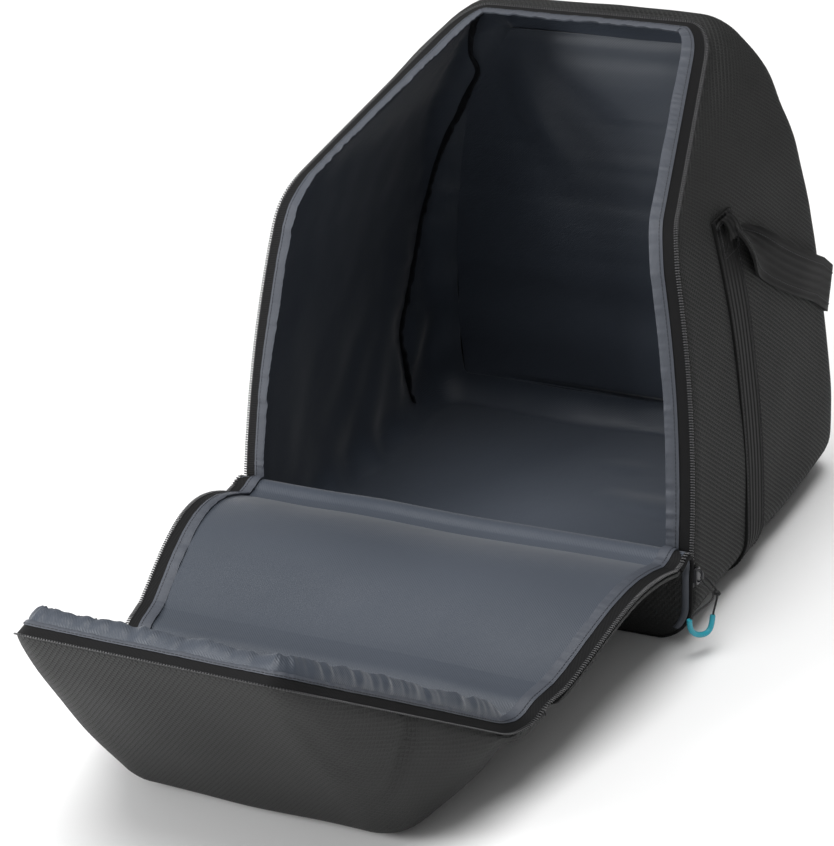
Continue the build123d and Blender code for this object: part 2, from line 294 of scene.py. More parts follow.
class Build:
    """Collects sheets and swept shapes into one mesh."""

    def __init__(self):
        self.vertices, self.faces, self.coordinates = [], [], []

    def add(self, vertices, faces, coordinates):
        base = len(self.vertices)
        self.vertices.extend(vertices.tolist())
        self.coordinates.extend(coordinates.tolist())
        self.faces.extend([tuple(base + k for k in face) for face in faces])

    def slab(self, grid, thickness, coordinates=None, normals=None):
        """Closed sheet: the grid is its outer face, thickness goes against the normals."""
        rows, cols = grid.shape[:2]
        coordinates = arc_coordinates(grid) if coordinates is None else coordinates
        inner = grid - (grid_normals(grid) if normals is None else normals) * thickness
        n = rows * cols
        faces = []
        for r in range(rows - 1):
            for a in range(r * cols, r * cols + cols - 1):
                faces.append((a, a + 1, a + cols + 1, a + cols))
                faces.append((n + a, n + a + cols, n + a + cols + 1, n + a + 1))
        ring = [*range(cols), *range(2 * cols - 1, n, cols), *range(n - 2, n - cols - 1, -1),
                *range(n - 2 * cols, 0, -cols)]
        faces += [(b, a, n + a, n + b) for a, b in zip(ring, ring[1:] + ring[:1])]
        both = np.concatenate([grid.reshape(-1, 3), inner.reshape(-1, 3)])
        self.add(both, faces, np.concatenate([coordinates.reshape(-1, 2)] * 2))

    def stack(self, rings, coordinates=None):
        """Solid through a row of equal rings, closed at both ends."""
        count, total = len(rings[0]), len(rings)
        faces = []
        for k in range(0, (total - 1) * count, count):
            for j in range(count):
                i = (j + 1) % count
                faces.append((k + j, k + i, k + count + i, k + count + j))
        faces.append(tuple(range(count - 1, -1, -1)))
        faces.append(tuple(range((total - 1) * count, total * count)))
        coordinates = np.zeros((total * count, 2)) if coordinates is None else coordinates
        self.add(np.concatenate(rings), faces, coordinates)

    def tube(self, path, section, scale=None):
        """Sweep a closed 2-D section along a path; section points are (side, up)."""
        path, section = np.asarray(path, float), np.asarray(section, float)
        scale = np.ones(len(path)) if scale is None else scale
        rings = [p + (side * section[:, :1] + up * section[:, 1:]) * size
                 for p, (side, up), size in zip(path, steady_frames(path), scale)]
        coordinates = np.stack(np.meshgrid(along(section), along(path)), axis=-1).reshape(-1, 2) * MM
        self.stack(rings, coordinates)

    def rod(self, a, b, radius, sides):
        """Small round-ended rod from a to b, for teeth and stitches."""
        a, d = np.array(a, float), np.subtract(b, a)
        length = np.linalg.norm(d)
        d = d / length
        side = unit(np.cross(d, [0.31, 0.55, 0.77]))
        w = np.arange(sides)[:, None] * 2 * pi / sides
        spoke = (side * np.cos(w) + np.cross(d, side) * np.sin(w)) * radius
        tip = 0.55
        steps = ((-tip * radius, tip), (0, 1), (length, 1), (length + tip * radius, tip))
        self.stack([a + d * shift + spoke * size for shift, size in steps])

    def plate(self, centre, size, corner, axes):
        """Plate with rounded corners and softened edges; size and axes go by width, length, thickness."""
        (width, length, thick), (wide, upward, out) = size, axes
        outline = []
        for cx, cy, start in ((1, 1, 0), (-1, 1, 90), (-1, -1, 180), (1, -1, 270)):
            for angle in np.radians(start + np.linspace(0, 90, 7)):
                outline.append((cx * (width / 2 - corner) + corner * cos(angle),
                                cy * (length / 2 - corner) + corner * sin(angle)))
        outline = np.array(outline)
        rings = []
        for level, shrink in ((-0.5, 0.35), (-0.32, 0.0), (0.32, 0.0), (0.5, 0.35)):
            shrunk = outline - np.sign(outline) * shrink
            rings.append(centre + shrunk[:, :1] * wide + shrunk[:, 1:] * upward + out * level * thick)
        self.stack(rings)

    def stitches(self, path, radius, pitch=3.6, size=2.4):
        """Row of stitches along a path of points."""
        lengths = along(path)
        for k in range(int(lengths[-1] / pitch)):
            start = k * pitch + 0.2
            ends = [[np.interp(s, lengths, column) for column in path.T] for s in (start, start + size)]
            self.rod(*ends, radius, 5)

    def make(self, name, look, smooth_angle=50):
        """Mesh object from what was collected, with its cloth coordinates for weaves."""
        mesh = bpy.data.meshes.new(name)
        mesh.from_pydata([tuple(v) for v in place(self.vertices)], [], self.faces)
        mesh.update()
        for poly in mesh.polygons:
            poly.use_smooth = True
        mesh.set_sharp_from_angle(angle=radians(smooth_angle))
        mesh.materials.append(look)
        flat = np.zeros((len(mesh.vertices), 3), np.float32)
        flat[:, :2] = self.coordinates
        mesh.attributes.new("cloth", "FLOAT_VECTOR", "POINT").data.foreach_set("vector", flat.ravel())
        return link(bpy.data.objects.new(name, mesh))


def link(ob):
    """Put an object in the scene."""
    bpy.context.scene.collection.objects.link(ob)
    return ob


def sheet(name, look, *slab, **options):
    """Mesh object of one closed sheet; the rest is what Build.slab takes."""
    build = Build()
    build.slab(*slab, **options)
    return build.make(name, look)


def steady_frames(path):
    """Two normals at each point of a path, turning as little as they can."""
    tangent = unit(np.gradient(path, axis=0))
    last = np.cross(tangent[0], [0.0, 0.0, 1.0])
    if np.linalg.norm(last) < 1e-3:
        last = np.cross(tangent[0], [0.0, 1.0, 0.0])
    frames = []
    for t in tangent:
        last = unit(last - t * (last @ t))
        frames.append((last, np.cross(last, t)))
    return frames


def circle(radius, count):
    """Points of a circle, for tubes."""
    return [(radius * cos(2 * pi * k / count), radius * sin(2 * pi * k / count)) for k in range(count)]


def pill(width, height, count=3):
    """Flat section with rounded edges."""
    r = height / 2
    made = []
    for centre, start in ((width / 2 - r, -90), (-width / 2 + r, 90)):
        for angle in np.radians(start + np.linspace(0, 180, count + 1)):
            made.append((centre + r * cos(angle), r * sin(angle)))
    return made


# ---------------------------------------------------------------- materials
class Nodes:
    """Short forms for a node tree; each input is a value or another node's output."""

    def __init__(self, tree):
        self.tree = tree

    def put(self, node, inputs):
        for key, value in inputs.items():
            if isinstance(value, bpy.types.NodeSocket):
                self.tree.links.new(value, node.inputs[key])
            else:
                node.inputs[key].default_value = value

    def new(self, kind, inputs, **settings):
        node = self.tree.nodes.new("ShaderNode" + kind)
        for key, value in settings.items():
            setattr(node, key, value)
        self.put(node, inputs)
        return node

    def math(self, operation, a, b=None):
        return self.new("Math", {0: a} if b is None else {0: a, 1: b}, operation=operation).outputs[0]

    def cloth(self, scale, degrees=0.0):
        """The stored flat cloth coordinates, scaled per metre."""
        stored = self.new("Attribute", {}, attribute_name="cloth").outputs["Vector"]
        inputs = {"Scale": (*scale, 1.0), "Rotation": (0, 0, radians(degrees)), "Vector": stored}
        return self.new("Mapping", inputs).outputs["Vector"]

    def noise(self, scale, detail=2.0):
        """Soft noise in object space, for uneven colour and creases."""
        where = self.new("TexCoord", {}).outputs["Object"]
        return self.new("TexNoise", {"Scale": scale, "Detail": detail, "Vector": where}).outputs["Fac"]

    def stripes(self, vector, axis):
        """Stripes along one axis of the cloth coordinates, one per unit, from 0 to 1."""
        angle = self.math("MULTIPLY", self.new("SeparateXYZ", {0: vector}).outputs[axis], 2 * pi)
        return self.math("ADD", self.math("MULTIPLY", self.math("SINE", angle), 0.5), 0.5)

    def ramp(self, value, *stops):
        """Colour ramp between two stops given as (place, colour)."""
        node = self.new("ValToRGB", {"Fac": value})
        for element, (at, colour) in zip(node.color_ramp.elements, stops):
            element.position = at
            element.color = (*colour, 1)
        return node.outputs["Color"]

    def bump(self, height, distance, strength=1.0, under=None):
        """Normal bumped by a height, on top of another bump if there is one."""
        inputs = {"Distance": distance, "Strength": strength, "Height": height}
        return self.new("Bump", inputs | ({"Normal": under} if under else {})).outputs["Normal"]


SCALE_PITCH = 0.0042
SCALE_SQUAT = 0.68


def scale_fabric(n):
    """Charcoal fabric embossed with rows of small staggered scales, with painted shade darkening the grooves
    between them.
    """
    cell = n.new("SeparateXYZ", {0: n.cloth((1 / SCALE_PITCH, 1 / (SCALE_PITCH * SCALE_SQUAT)))}).outputs
    odd = n.math("MODULO", n.math("ABSOLUTE", n.math("FLOOR", cell[1])), 2.0)
    across = n.math("FRACT", n.math("ADD", cell[0], n.math("MULTIPLY", odd, 0.5)))
    x = n.math("SUBTRACT", across, 0.5)
    arc = n.math("MULTIPLY", n.math("MULTIPLY", x, x), 3.4)
    edge = n.math("FRACT", n.math("ADD", n.math("FRACT", cell[1]), arc))
    # painted shade: the grooves between the scales are darkened in the colour as well as bumped
    painted_groove_shade = n.math("MULTIPLY", n.math("LESS_THAN", edge, 0.30), 0.9)
    base = n.ramp(n.noise(9.0, 3.0), (0.3, (0.021, 0.0215, 0.0212)), (0.75, (0.029, 0.0295, 0.029)))
    # mixes the base colour towards near black in the grooves: painted shade
    mix = n.new("Mix", {0: painted_groove_shade, 6: base, 7: (0.002, 0.0021, 0.0021, 1)}, data_type="RGBA")
    grain = n.bump(n.noise(2600.0), 0.00012, 0.7)
    return {"Base Color": mix.outputs[2], "Normal": n.bump(n.math("POWER", edge, 0.35), 0.0011, 1.0, grain)}


def lining_weave(n):
    """Slate satin lining with a faint fine diagonal twill."""
    colour = n.ramp(n.noise(5.0), (0.3, (0.037, 0.046, 0.062)), (0.75, (0.048, 0.058, 0.077)))
    crease = n.bump(n.noise(26.0, 4.0), 0.0016, 0.35)
    twill = n.stripes(n.cloth((620, 620), 45), 0)
    return {"Base Color": colour, "Normal": n.bump(twill, 0.00014, 0.8, crease)}


def ribbed(pitch, low, high, depth, axis=1, degrees=0.0):
    """Woven band with ribs across it; its colour is darker in the troughs between the ribs as painted shade.
    """
    def pattern(n):
        rib = n.stripes(n.cloth((1 / pitch, 1 / pitch), degrees), axis)
        # the colour ramp follows the ribs' height: painted shade in the troughs, lighter on the crests
        return {"Base Color": n.ramp(rib, (0.15, low), (0.85, high)), "Normal": n.bump(rib, depth)}
    return pattern


def braid(n):
    """Fine crossed braid of a cord."""
    vector = n.cloth((900, 900), 45)
    return {"Normal": n.bump(n.math("MULTIPLY", n.stripes(vector, 0), n.stripes(vector, 1)), 0.0002)}


def material(name, pattern=None, slot=None, **inputs):
    """Principled material; pattern(nodes) gives its patterned inputs; slot is not used."""
    made = bpy.data.materials.new(name)
    made.use_nodes = True
    nodes = Nodes(made.node_tree)
    inputs = {key.replace("_", " "): value for key, value in inputs.items()}
    nodes.put(made.node_tree.nodes["Principled BSDF"], inputs | (pattern(nodes) if pattern else {}))
    return made


OUTER = material("outer_fabric", scale_fabric, Roughness=0.66, Specular_IOR_Level=0.24)
LINING = material("lining_fabric", lining_weave, Roughness=0.46, Specular_IOR_Level=0.45, Sheen_Weight=0.28,
                  Sheen_Roughness=0.4)
# each ribbed band's darker colour is painted shade in the troughs between its ribs
TAPE = material("zip_tape", ribbed(0.0011, (0.004, 0.004, 0.0045), (0.012, 0.012, 0.0125), 0.0002, 1, 35),
                Roughness=0.75, Specular_IOR_Level=0.18)
BINDING = material("binding_tape", ribbed(0.0009, (0.050, 0.056, 0.069), (0.078, 0.086, 0.105), 0.00012),
                   Roughness=0.5, Specular_IOR_Level=0.4)
WEBBING = material("webbing", ribbed(0.0064, (0.003, 0.003, 0.0031), (0.009, 0.009, 0.0092), 0.0009, 0),
                   Roughness=0.7, Specular_IOR_Level=0.2)
SEAM_EDGE = material("seam_edge", ribbed(0.0013, (0.006, 0.0065, 0.008), (0.020, 0.022, 0.027), 0.0003, 0),
                     "lining_fabric", Roughness=0.6, Specular_IOR_Level=0.3)
COIL = material("zip_coil", Base_Color=(0.035, 0.035, 0.037, 1), Roughness=0.28)
THREAD = material("thread", slot="webbing", Base_Color=(0.02, 0.02, 0.022, 1), Roughness=0.7)
THREAD_GREY = material("thread_grey", slot="binding_tape", Base_Color=(0.016, 0.018, 0.024, 1),
                       Roughness=0.7)
METAL = material("zip_metal", Base_Color=(0.06, 0.06, 0.065, 1), Metallic=0.85, Roughness=0.38)
CORD = material("pull_cord", braid, Base_Color=(0.012, 0.012, 0.013, 1), Roughness=0.6)
GRIP = material("pull_grip", Base_Color=(0.02, 0.31, 0.40, 1), Roughness=0.42, Specular_IOR_Level=0.5)


def finish_piece(ob, *nodes, body=None, blend=None):
    """Attach a piece to its body, bake its transform into its mesh if it has a blend, and hide the CAD nodes
    it stands for.
    """
    if body:
        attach(ob, body)
    if blend:
        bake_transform(ob)
    if nodes:
        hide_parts(*nodes)
    return ob


# ---------------------------------------------------------------- camera
CAMERA_AT = Vector((0.927, -1.997, 1.101))
YAW, PITCH, ROLL = radians(27.85), radians(24.72), radians(-3.38)
FOCAL = 123.5


def make_camera():
    """Camera fitted to the photo by the bag's corners."""
    forward = Vector((-sin(YAW) * cos(PITCH), cos(YAW) * cos(PITCH), -sin(PITCH)))
    right = Vector((cos(YAW), sin(YAW), 0))
    up = right.cross(forward)
    side = right * cos(ROLL) + up * sin(ROLL)
    top = up * cos(ROLL) - right * sin(ROLL)
    data = bpy.data.cameras.new("camera")
    data.sensor_fit = "HORIZONTAL"
    data.sensor_width = 36.0
    data.lens = FOCAL
    camera = link(bpy.data.objects.new("camera", data))
    camera.matrix_world = Matrix.Translation(CAMERA_AT) @ Matrix((side, top, -forward)).transposed().to_4x4()
    bpy.context.scene.camera = camera


make_camera()


# ---------------------------------------------------------------- the pull: cord, grip, knot
STRAND_OUT = [(205.0, -8.0, 61.0), (207.4, -5.2, 58.8), (213.0, -5.6, 53.0), (217.4, -6.6, 48.4)]
RIGHT_LEG = [(216.4, -8.8, 39.6), (214.8, -11.6, 30.6)]
GRIP_ROUTE = [(214.8, -13.6, 22.0), (212.8, -19.4, 17.4), (207.8, -28.2, 19.6), (204.2, -34.2, 27.4)]
LEFT_LEG = [(204.4, -33.8, 35.6), (208.6, -25.4, 40.2), (213.4, -15.8, 42.2)]
STRAND_BACK = [(216.2, -10.4, 47.4), (212.6, -12.0, 53.4), (207.4, -13.0, 58.6), (205.0, -10.4, 61.0)]
CORD_D = 1.6
GRIP_D = 4.4
KNOT_AT = np.array((216.6, -8.3, 48.6))


def spline_points(controls):
    """Points along the smooth NURBS line that these points control, in millimetres."""
    curve = bpy.data.curves.new("route", "CURVE")
    curve.dimensions = "3D"
    curve.resolution_u = 16
    spline = curve.splines.new("NURBS")
    spline.points.add(len(controls) - 1)
    for point, at in zip(spline.points, controls):
        point.co = (*at, 1.0)
    spline.order_u = 3
    spline.use_endpoint_u = True
    ob = bpy.data.objects.new("route", curve)
    mesh = bpy.data.meshes.new_from_object(ob)
    points = np.array([vertex.co for vertex in mesh.vertices])
    bpy.data.objects.remove(ob)
    bpy.data.curves.remove(curve)
    bpy.data.meshes.remove(mesh)
    return points


def knot_lines():
    """Two turns of the overhand knot, and the small eye that stands out of it."""
    w = np.linspace(0, 4 * pi, 61)
    reach = 1.7 + 0.4 * np.cos(1.5 * w)
    turns = np.stack([np.cos(w) * reach, np.sin(w) * 1.9, (w / w[-1] - 0.5) * 3.2], axis=1)
    w = np.linspace(0, 2 * pi * 0.94, 33)
    eye = np.stack([1.6 + 1.3 * np.cos(w), -0.9 * np.sin(w), 0.2 + 1.7 * np.sin(w)], axis=1)
    return [KNOT_AT + turns, KNOT_AT + eye]


def make_pull():
    """Cord loop on the slider, with its knot and its blue grip tube."""
    route = spline_points(STRAND_OUT + RIGHT_LEG + GRIP_ROUTE + LEFT_LEG + STRAND_BACK)
    grip_path = spline_points(RIGHT_LEG[-1:] + GRIP_ROUTE + LEFT_LEG[:1])
    grip_ends = np.ones(len(grip_path))
    grip_ends[[0, -1]] = 0.86
    strand = circle(CORD_D / 2, 8)
    for name, look, tubes in (("pull_cord", CORD, [(route, strand)]),
                              ("pull_grip", GRIP, [(grip_path, circle(GRIP_D / 2, 20), grip_ends)]),
                              ("pull_knot", CORD, [(line, strand) for line in knot_lines()])):
        build = Build()
        for tube in tubes:
            build.tube(*tube)
        finish_piece(build.make(name + "_visual", look), name, body="zip_pull")


make_pull()


# ---------------------------------------------------------------- walls of the body and the hood
HEM_THICKNESS = (0.5, 0.9, 1.6, 2.4)
CAP_COLUMNS = 60
CAP_STEP = 0.4


def swept(ring, n2, start, face, radius, way, rows, round_rows):
    """Grid of a wall: rows from its rim at Y start, then round_rows that turn into the face at its end.

    Columns follow the ring. face(z) is the end face's Y; way is +1 where it is behind the rim, -1 in front.
    """
    t = np.linspace(0, 1, rows)[:, None]
    phi = np.arange(1, round_rows + 1)[:, None] / round_rows * pi / 2
    straight = start + (face(ring[:, 1]) - way * radius - start) * t
    q = ring - n2 * (radius * (1 - np.cos(phi)))[..., None]
    curved = face(q[..., 1]) - way * radius * (1 - np.sin(phi))
    x, z = (np.concatenate([np.broadcast_to(ring[:, k], straight.shape), q[..., k]]) for k in (0, 1))
    return np.stack([x, np.concatenate([straight, curved]), z], axis=-1)


def body_wall(inset, lead, rows, round_rows):
    """Wall round the bag, inset from the outer face, from lead behind the zip surface to the back."""
    start = zip_y(RING[:, 1]) + lead
    return swept(RING - RING_NORMALS * inset, RING_NORMALS, start, lambda z: rear_y(z) - inset,
                 REAR_RADIUS - inset, 1, rows, round_rows)


def hood_wall(inset, lead):
    """Wall round the hood, from lead in front of the zip surface to its front; and the outline's normals."""
    ring = full_outline(5.0)
    n2 = normals_2d(ring)
    keep = ring[:, 1] >= HOOD_FOLD_Z
    ring, n2 = ring[keep] - n2[keep] * inset, n2[keep]
    start = zip_y(ring[:, 1]) - lead * (1.0 + 1.5 * smooth((ring[:, 1] - 300) / 40))
    front = HOOD_FRONT_Y + inset
    radius = np.minimum(HOOD_RADIUS - inset, np.maximum(2.0, start - front))
    return swept(ring, n2, start, lambda z: front + 0 * z, radius, -1, 24, 8), n2


def cap_from(edge_right, columns):
    """Grid across the end of a wall, from right-hand boundary points to their mirror images, upwards."""
    pick = [edge_right[0]]
    for p in edge_right[1:]:
        if p[2] > pick[-1][2] + CAP_STEP:
            pick.append(p)
    grid = np.repeat(np.array(pick)[:, None], columns, axis=1)
    grid[..., 0] *= np.linspace(1, -1, columns)
    return grid


def hemmed(grid, n2, way):
    """Add two rows that turn the wall's rim inwards to the zip tape, and give each row's thickness."""
    rows = []
    for inset, lead in ((3.8, 0.8), (1.3, 1.5)):
        row = grid[0].copy()
        row[:, [0, 2]] -= n2 * inset
        row[:, 1] = zip_y(row[:, 2]) + lead * way
        rows.append(row)
    grid = np.concatenate([np.array(rows), grid])
    thick = np.full(len(grid), SHELL_THICK)
    thick[: len(HEM_THICKNESS)] = HEM_THICKNESS
    return grid, np.broadcast_to(thick[:, None, None], (*grid.shape[:2], 1))


def columns_between(low_z, high_z, side):
    """First and last outline column on one side, +1 or -1, between two heights."""
    j = np.arange(len(RING))
    inside = (RING[:, 1] >= low_z) & (RING[:, 1] <= high_z)
    return j[inside & (RING[:, 0] * side >= 0) & ((j - HALF) * side <= 0)][[0, -1]]


def wall_spans(low_z, high_z):
    """Outline columns of the right side, the top, the left side and the base; neighbours share one."""
    a, b = columns_between(low_z, high_z, 1)
    c, d = columns_between(low_z, high_z, -1)
    return (np.arange(a, b + 1), np.arange(b, c + 1), np.arange(c, d + 1),
            np.concatenate([np.arange(d, len(RING) - 1), np.arange(a + 1)]))


# ---------------------------------------------------------------- the body's shell
def make_shell():
    """Outer fabric of the body: two sides, the strip behind the top zip, the base and the back."""
    grid = body_wall(0.0, 3.4, 26, 8)
    inward = grid_normals(grid)
    depth = np.arange(len(grid))[:, None]
    for size, amount, seed in ((95.0, 2.2, 3), (34.0, 0.5, 5)):
        grid = grid + inward * (rough(grid, size, seed) * amount * np.clip(depth / 5, 0, 1))[..., None]
    grid = grid + inward * (ridge(grid, (186, 100, 296), (174, 138, 352), 7.0) * 2.6)[..., None]
    full = np.exp(-((grid[..., 2] - 366) / 30) ** 2) * smooth(depth / (len(grid) - 1) / 0.5) * 8.0
    grid = grid - inward * full[..., None]
    grid, thick = hemmed(grid, RING_NORMALS, 1)
    grid = above_floor(grid)
    outward = -grid_normals(grid)
    flat = wall_coordinates(grid, 1)
    names = (("shell_side_right", "side_panel_right"), ("shell_top", "top_rear_panel"),
             ("shell_side_left", "side_panel_left"), ("shell_base", "base_panel"))
    for (name, node), pick in zip(names, wall_spans(12.0, HEIGHT - 22.0)):
        coordinates = arc_coordinates(grid[:, pick]) if name == "shell_base" else flat[:, pick]
        slab = (part[:, ::-1] for part in (grid[:, pick], thick[:, pick], coordinates, outward[:, pick]))
        finish_piece(sheet(name, OUTER, *slab), node, body="body")
    back = cap_from(grid[-1, : HALF + 1], CAP_COLUMNS)
    backward = grid_normals(back)
    soft = np.clip(np.minimum(from_ends(CAP_COLUMNS), from_ends(len(back))[:, None]) / 6, 0, 1)
    back = back + backward * (rough(back, 110.0, 9) * 2.5 * soft)[..., None]
    shell = sheet("shell_back", OUTER, back, SHELL_THICK, back[..., [0, 2]] * MM, backward)
    finish_piece(shell, "back_panel", body="body")


make_shell()


# ---------------------------------------------------------------- the body's lining
SEAM = [(270, 407), (284, 396), (298, 372), (316, 334), (317, 294), (308, 220), (294, 170), (262, 99),
        (268, 60), (276, 24)]
SEAM_RADIUS = 24


def seam_route(step):
    """Side view of the side seam as (y, z), evenly spaced."""
    return rounded(SEAM, [SEAM_RADIUS] * (len(SEAM) - 2), step)


def lining_depth(grid):
    """How far each point of the lining hangs in from the wall: billows, low folds and the gathered seam."""
    rows = np.arange(len(grid))[:, None] / (len(grid) - 1)
    x, y, z = np.moveaxis(grid, -1, 0)
    route = seam_route(6.0)
    distances = np.linalg.norm(grid[..., None, 1:3] - route, axis=-1)
    away, at_seam = np.min(distances, axis=-1), along(route)[np.argmin(distances, axis=-1)]
    billow = np.clip(rough(grid, 120.0, 21) * 5.5 + 1.5, -1.0, 9.0)
    low_folds = np.clip(1.3 - z / 150, 0, 1) * np.clip(rows * 2.2, 0, 1)
    slant = rough(np.stack([x * 0.2, y - 0.6 * z, z * 0.35], axis=-1), 36.0, 27)
    depth = (billow + low_folds * slant * 8.0 + rough(grid, 30.0, 29) * 0.9) * np.clip(rows * 6, 0, 1)
    sewn = np.exp(-(away / 16) ** 2) * np.clip((z - 20) / 30, 0, 1)
    puckers = rough(np.stack([at_seam, away * 0.3, 0 * z], axis=-1), 9.0, 31)
    gather = np.exp(-(away / 26) ** 2) * puckers * 2.6
    return np.clip(depth * (1 - 0.9 * sewn) + gather * (1 - np.exp(-(away / 5) ** 2)), -1.5, 15.0)


def make_lining():
    """Lining of the body, hanging loose between its seams."""
    grid = body_wall(6.0, 2.0, 46, 10)
    grid = above_floor(grid + grid_normals(grid) * lining_depth(grid)[..., None], 9.0)
    facing = grid_normals(grid)
    flat = arc_coordinates(grid)
    for name, pick in zip(("right", "top", "left", "floor"), wall_spans(14.0, HEIGHT - 30.0)):
        coordinates = arc_coordinates(grid[:, pick]) if name == "floor" else flat[:, pick]
        slab = grid[:, pick], LINING_THICK, coordinates, facing[:, pick]
        piece = sheet("lining_" + name + "_cloth", LINING, *slab)
        hidden = ("base_board",) if name == "floor" else ()
        finish_piece(piece, "lining_" + name, *hidden, body="body")
    back = cap_from(grid[-1, : HALF + 1], CAP_COLUMNS)[:, ::-1]
    soft = smooth(from_ends(CAP_COLUMNS) / 18) * smooth(from_ends(len(back)) / 12)[:, None]
    pull = ridge(back, (-120, 320, 372), (-30, 330, 250), 16.0) * 5.0
    pull = pull - ridge(back, (-100, 320, 378), (10, 330, 290), 13.0) * 3.0
    billow = np.clip(rough(back, 100.0, 41) * 7 + 3, -1, 10)
    back = back + grid_normals(back) * ((billow + pull + 5.0) * soft)[..., None]
    piece = sheet("lining_back_cloth", LINING, back, LINING_THICK, back[..., [0, 2]] * MM)
    finish_piece(piece, "lining_back", body="body")
    for side, part in ((1, "right"), (-1, "left")):
        make_seam(grid, side, part)


def make_seam(grid, side, part):
    """Gathered overlocked seam that stands off the lining of one side."""
    flat = grid.reshape(-1, 3)
    flat = flat[flat[:, 0] * side > 60]
    points = []
    for y, z in seam_route(1.6):
        near = np.argsort((flat[:, 1] - y) ** 2 + (flat[:, 2] - z) ** 2)[:6]
        points.append((flat[near, 0].mean(), y, z))
    padded = np.pad(np.array(points), ((4, 4), (0, 0)), mode="edge")
    points = np.stack([np.convolve(column, np.ones(9) / 9, mode="valid") for column in padded.T], axis=1)
    s = along(points)
    tangent = unit(np.gradient(points, axis=0))
    away = np.array([-side * 1.0, -0.35, 0.15])
    away = unit(away - tangent * (tangent @ away)[:, None])
    sideways = np.cross(tangent, away)
    t = np.linspace(-0.3, 1, 6)[:, None]
    height = 5.6 + gathers(s, 14.0, 19) * 1.6
    sway = gathers(s, 6.5, 17) * 2.6 * np.clip(t, 0, 1) + 1.2 * t
    ribbon = points + away * (height * t)[..., None] + sideways * sway[..., None]
    finish_piece(sheet("lining_seam_" + part, SEAM_EDGE, ribbon, 1.3), body="body")


make_lining()


# ---------------------------------------------------------------- the zip rim
def rim_line(step):
    """Zip's coil line from the right end over the top to the left end: points, inward and front normals."""
    ring = full_outline(1.5)
    n2 = normals_2d(ring)
    keep = ring[:, 1] >= ZIP_BOTTOM_Z
    ring, n2 = ring[keep], n2[keep]
    p = ring - n2 * COIL_INSET
    data = resample(np.column_stack([p[:, 0], zip_y(p[:, 1]), p[:, 1], n2]), step, dims=3)
    points = data[:, :3]
    front = np.column_stack([np.zeros(len(points)), zip_normal(points[:, 2])])
    inward = -np.column_stack([data[:, 3], np.zeros(len(points)), data[:, 4]])
    return points, unit(inward - front * np.sum(inward * front, axis=1)[:, None]), front


def tilted(line, tilt):
    """Directions across the lip and out of it, turned by tilt degrees behind the zip surface."""
    inward, out = line[1:]
    angle = np.radians(np.broadcast_to(tilt, len(inward)))[:, None]
    return inward * np.cos(angle) - out * np.sin(angle), out * np.cos(angle) + inward * np.sin(angle)


def tape_grid(line, tilt, narrow=0.0):
    """Zip tape across the lip, and the direction it faces."""
    across, up = tilted(line, tilt)
    t = np.linspace(*TAPE_BAND, 5)[:, None] * (1 - np.broadcast_to(narrow, len(up)))
    return line[0] + across * t[..., None] + up * 0.1, up


def binding_grid(line, tilt, width, seed, gather, narrow=0.0):
    """Gathered binding along the lip's inner edge: its grid of points and its facing directions."""
    across, up = tilted(line, tilt)
    length = along(line[0])
    t = np.linspace(0, 1, 9)[:, None]
    swell = 0.15 + 1.05 * np.sin(pi * np.clip(t * 0.92 + 0.06, 0, 1)) ** 0.45
    pucker = gathers(length, 3.4, seed) * gather + gathers(length, 9.0, seed + 1) * gather * 0.7
    hem = 1 - 0.75 * np.exp(-((t - 0.25) / 0.07) ** 2)
    rise = swell * 0.9 + pucker * (0.35 + 0.65 * t) * hem
    wander = gathers(length, 30.0, seed + 2) * 0.7
    reach = (BINDING_BAND[0] + (width + wander) * t) * (1 - np.asarray(narrow))
    grid = line[0] + across * reach[..., None] + up * (0.1 + rise)[..., None]
    facing = grid_normals(grid)
    return grid, facing * np.sign(np.sum(facing * up, axis=-1))[..., None]


def teeth(build, line, picked, bend=None):
    """Coil teeth at the picked points of a rim line, each lying across the rim."""
    points, inward, front = line
    for k in picked:
        ends = np.array([points[k] - inward[k] * 1.5, points[k] + inward[k] * 1.2]) + front[k] * 0.2
        build.rod(*(bend(ends, points[k][2]) if bend else ends), 0.72, 6)


BINDING_WIDTH = BINDING_BAND[1] - BINDING_BAND[0]
TAPE_THICK = 0.9
COIL_PITCH = 2.1
RIM_STEP = 1.6
HEM_STITCH = {"pitch": 3.2, "size": 2.1}
STOP_Z = 52.0


def make_body_rim():
    """The body's half of the zip: tape, gathered binding with its stitches, coil and end stops."""
    line = rim_line(RIM_STEP)
    length = along(line[0])
    ends = np.clip(np.minimum(length, length[-1] - length) / 40, 0, 1)
    tilt = -6 - 10 * ends + 7 * gathers(length, 90.0, 2)
    grid, up = tape_grid(line, tilt)
    tape = sheet("body_tape", TAPE, grid, TAPE_THICK, normals=np.broadcast_to(up, grid.shape))
    finish_piece(tape, "zip_tape_body", body="body")
    grid, facing = binding_grid(line, tilt, BINDING_WIDTH, 3, 0.95)
    finish_piece(sheet("body_binding", BINDING, grid, 1.5, normals=facing), "rim_binding_body", body="body")
    build = Build()
    build.stitches(grid[2] + facing[2] * 0.12, 0.26, **HEM_STITCH)
    finish_piece(build.make("body_binding_stitches", THREAD_GREY), body="body")
    build = Build()
    fine = rim_line(COIL_PITCH)
    teeth(build, fine, range(len(fine[0])))
    finish_piece(build.make("body_coil", COIL), "zip_coil_body", body="body")
    build = Build()
    for side in (1, -1):
        x, y = side * (half_width(STOP_Z) - COIL_INSET), zip_y(STOP_Z) - 0.4
        build.rod((x, y, STOP_Z - 1.4), (x, y, STOP_Z + 1.4), 1.7, 10)
    finish_piece(build.make("end_stops", METAL), "zip_end_stops", body="body")


make_body_rim()


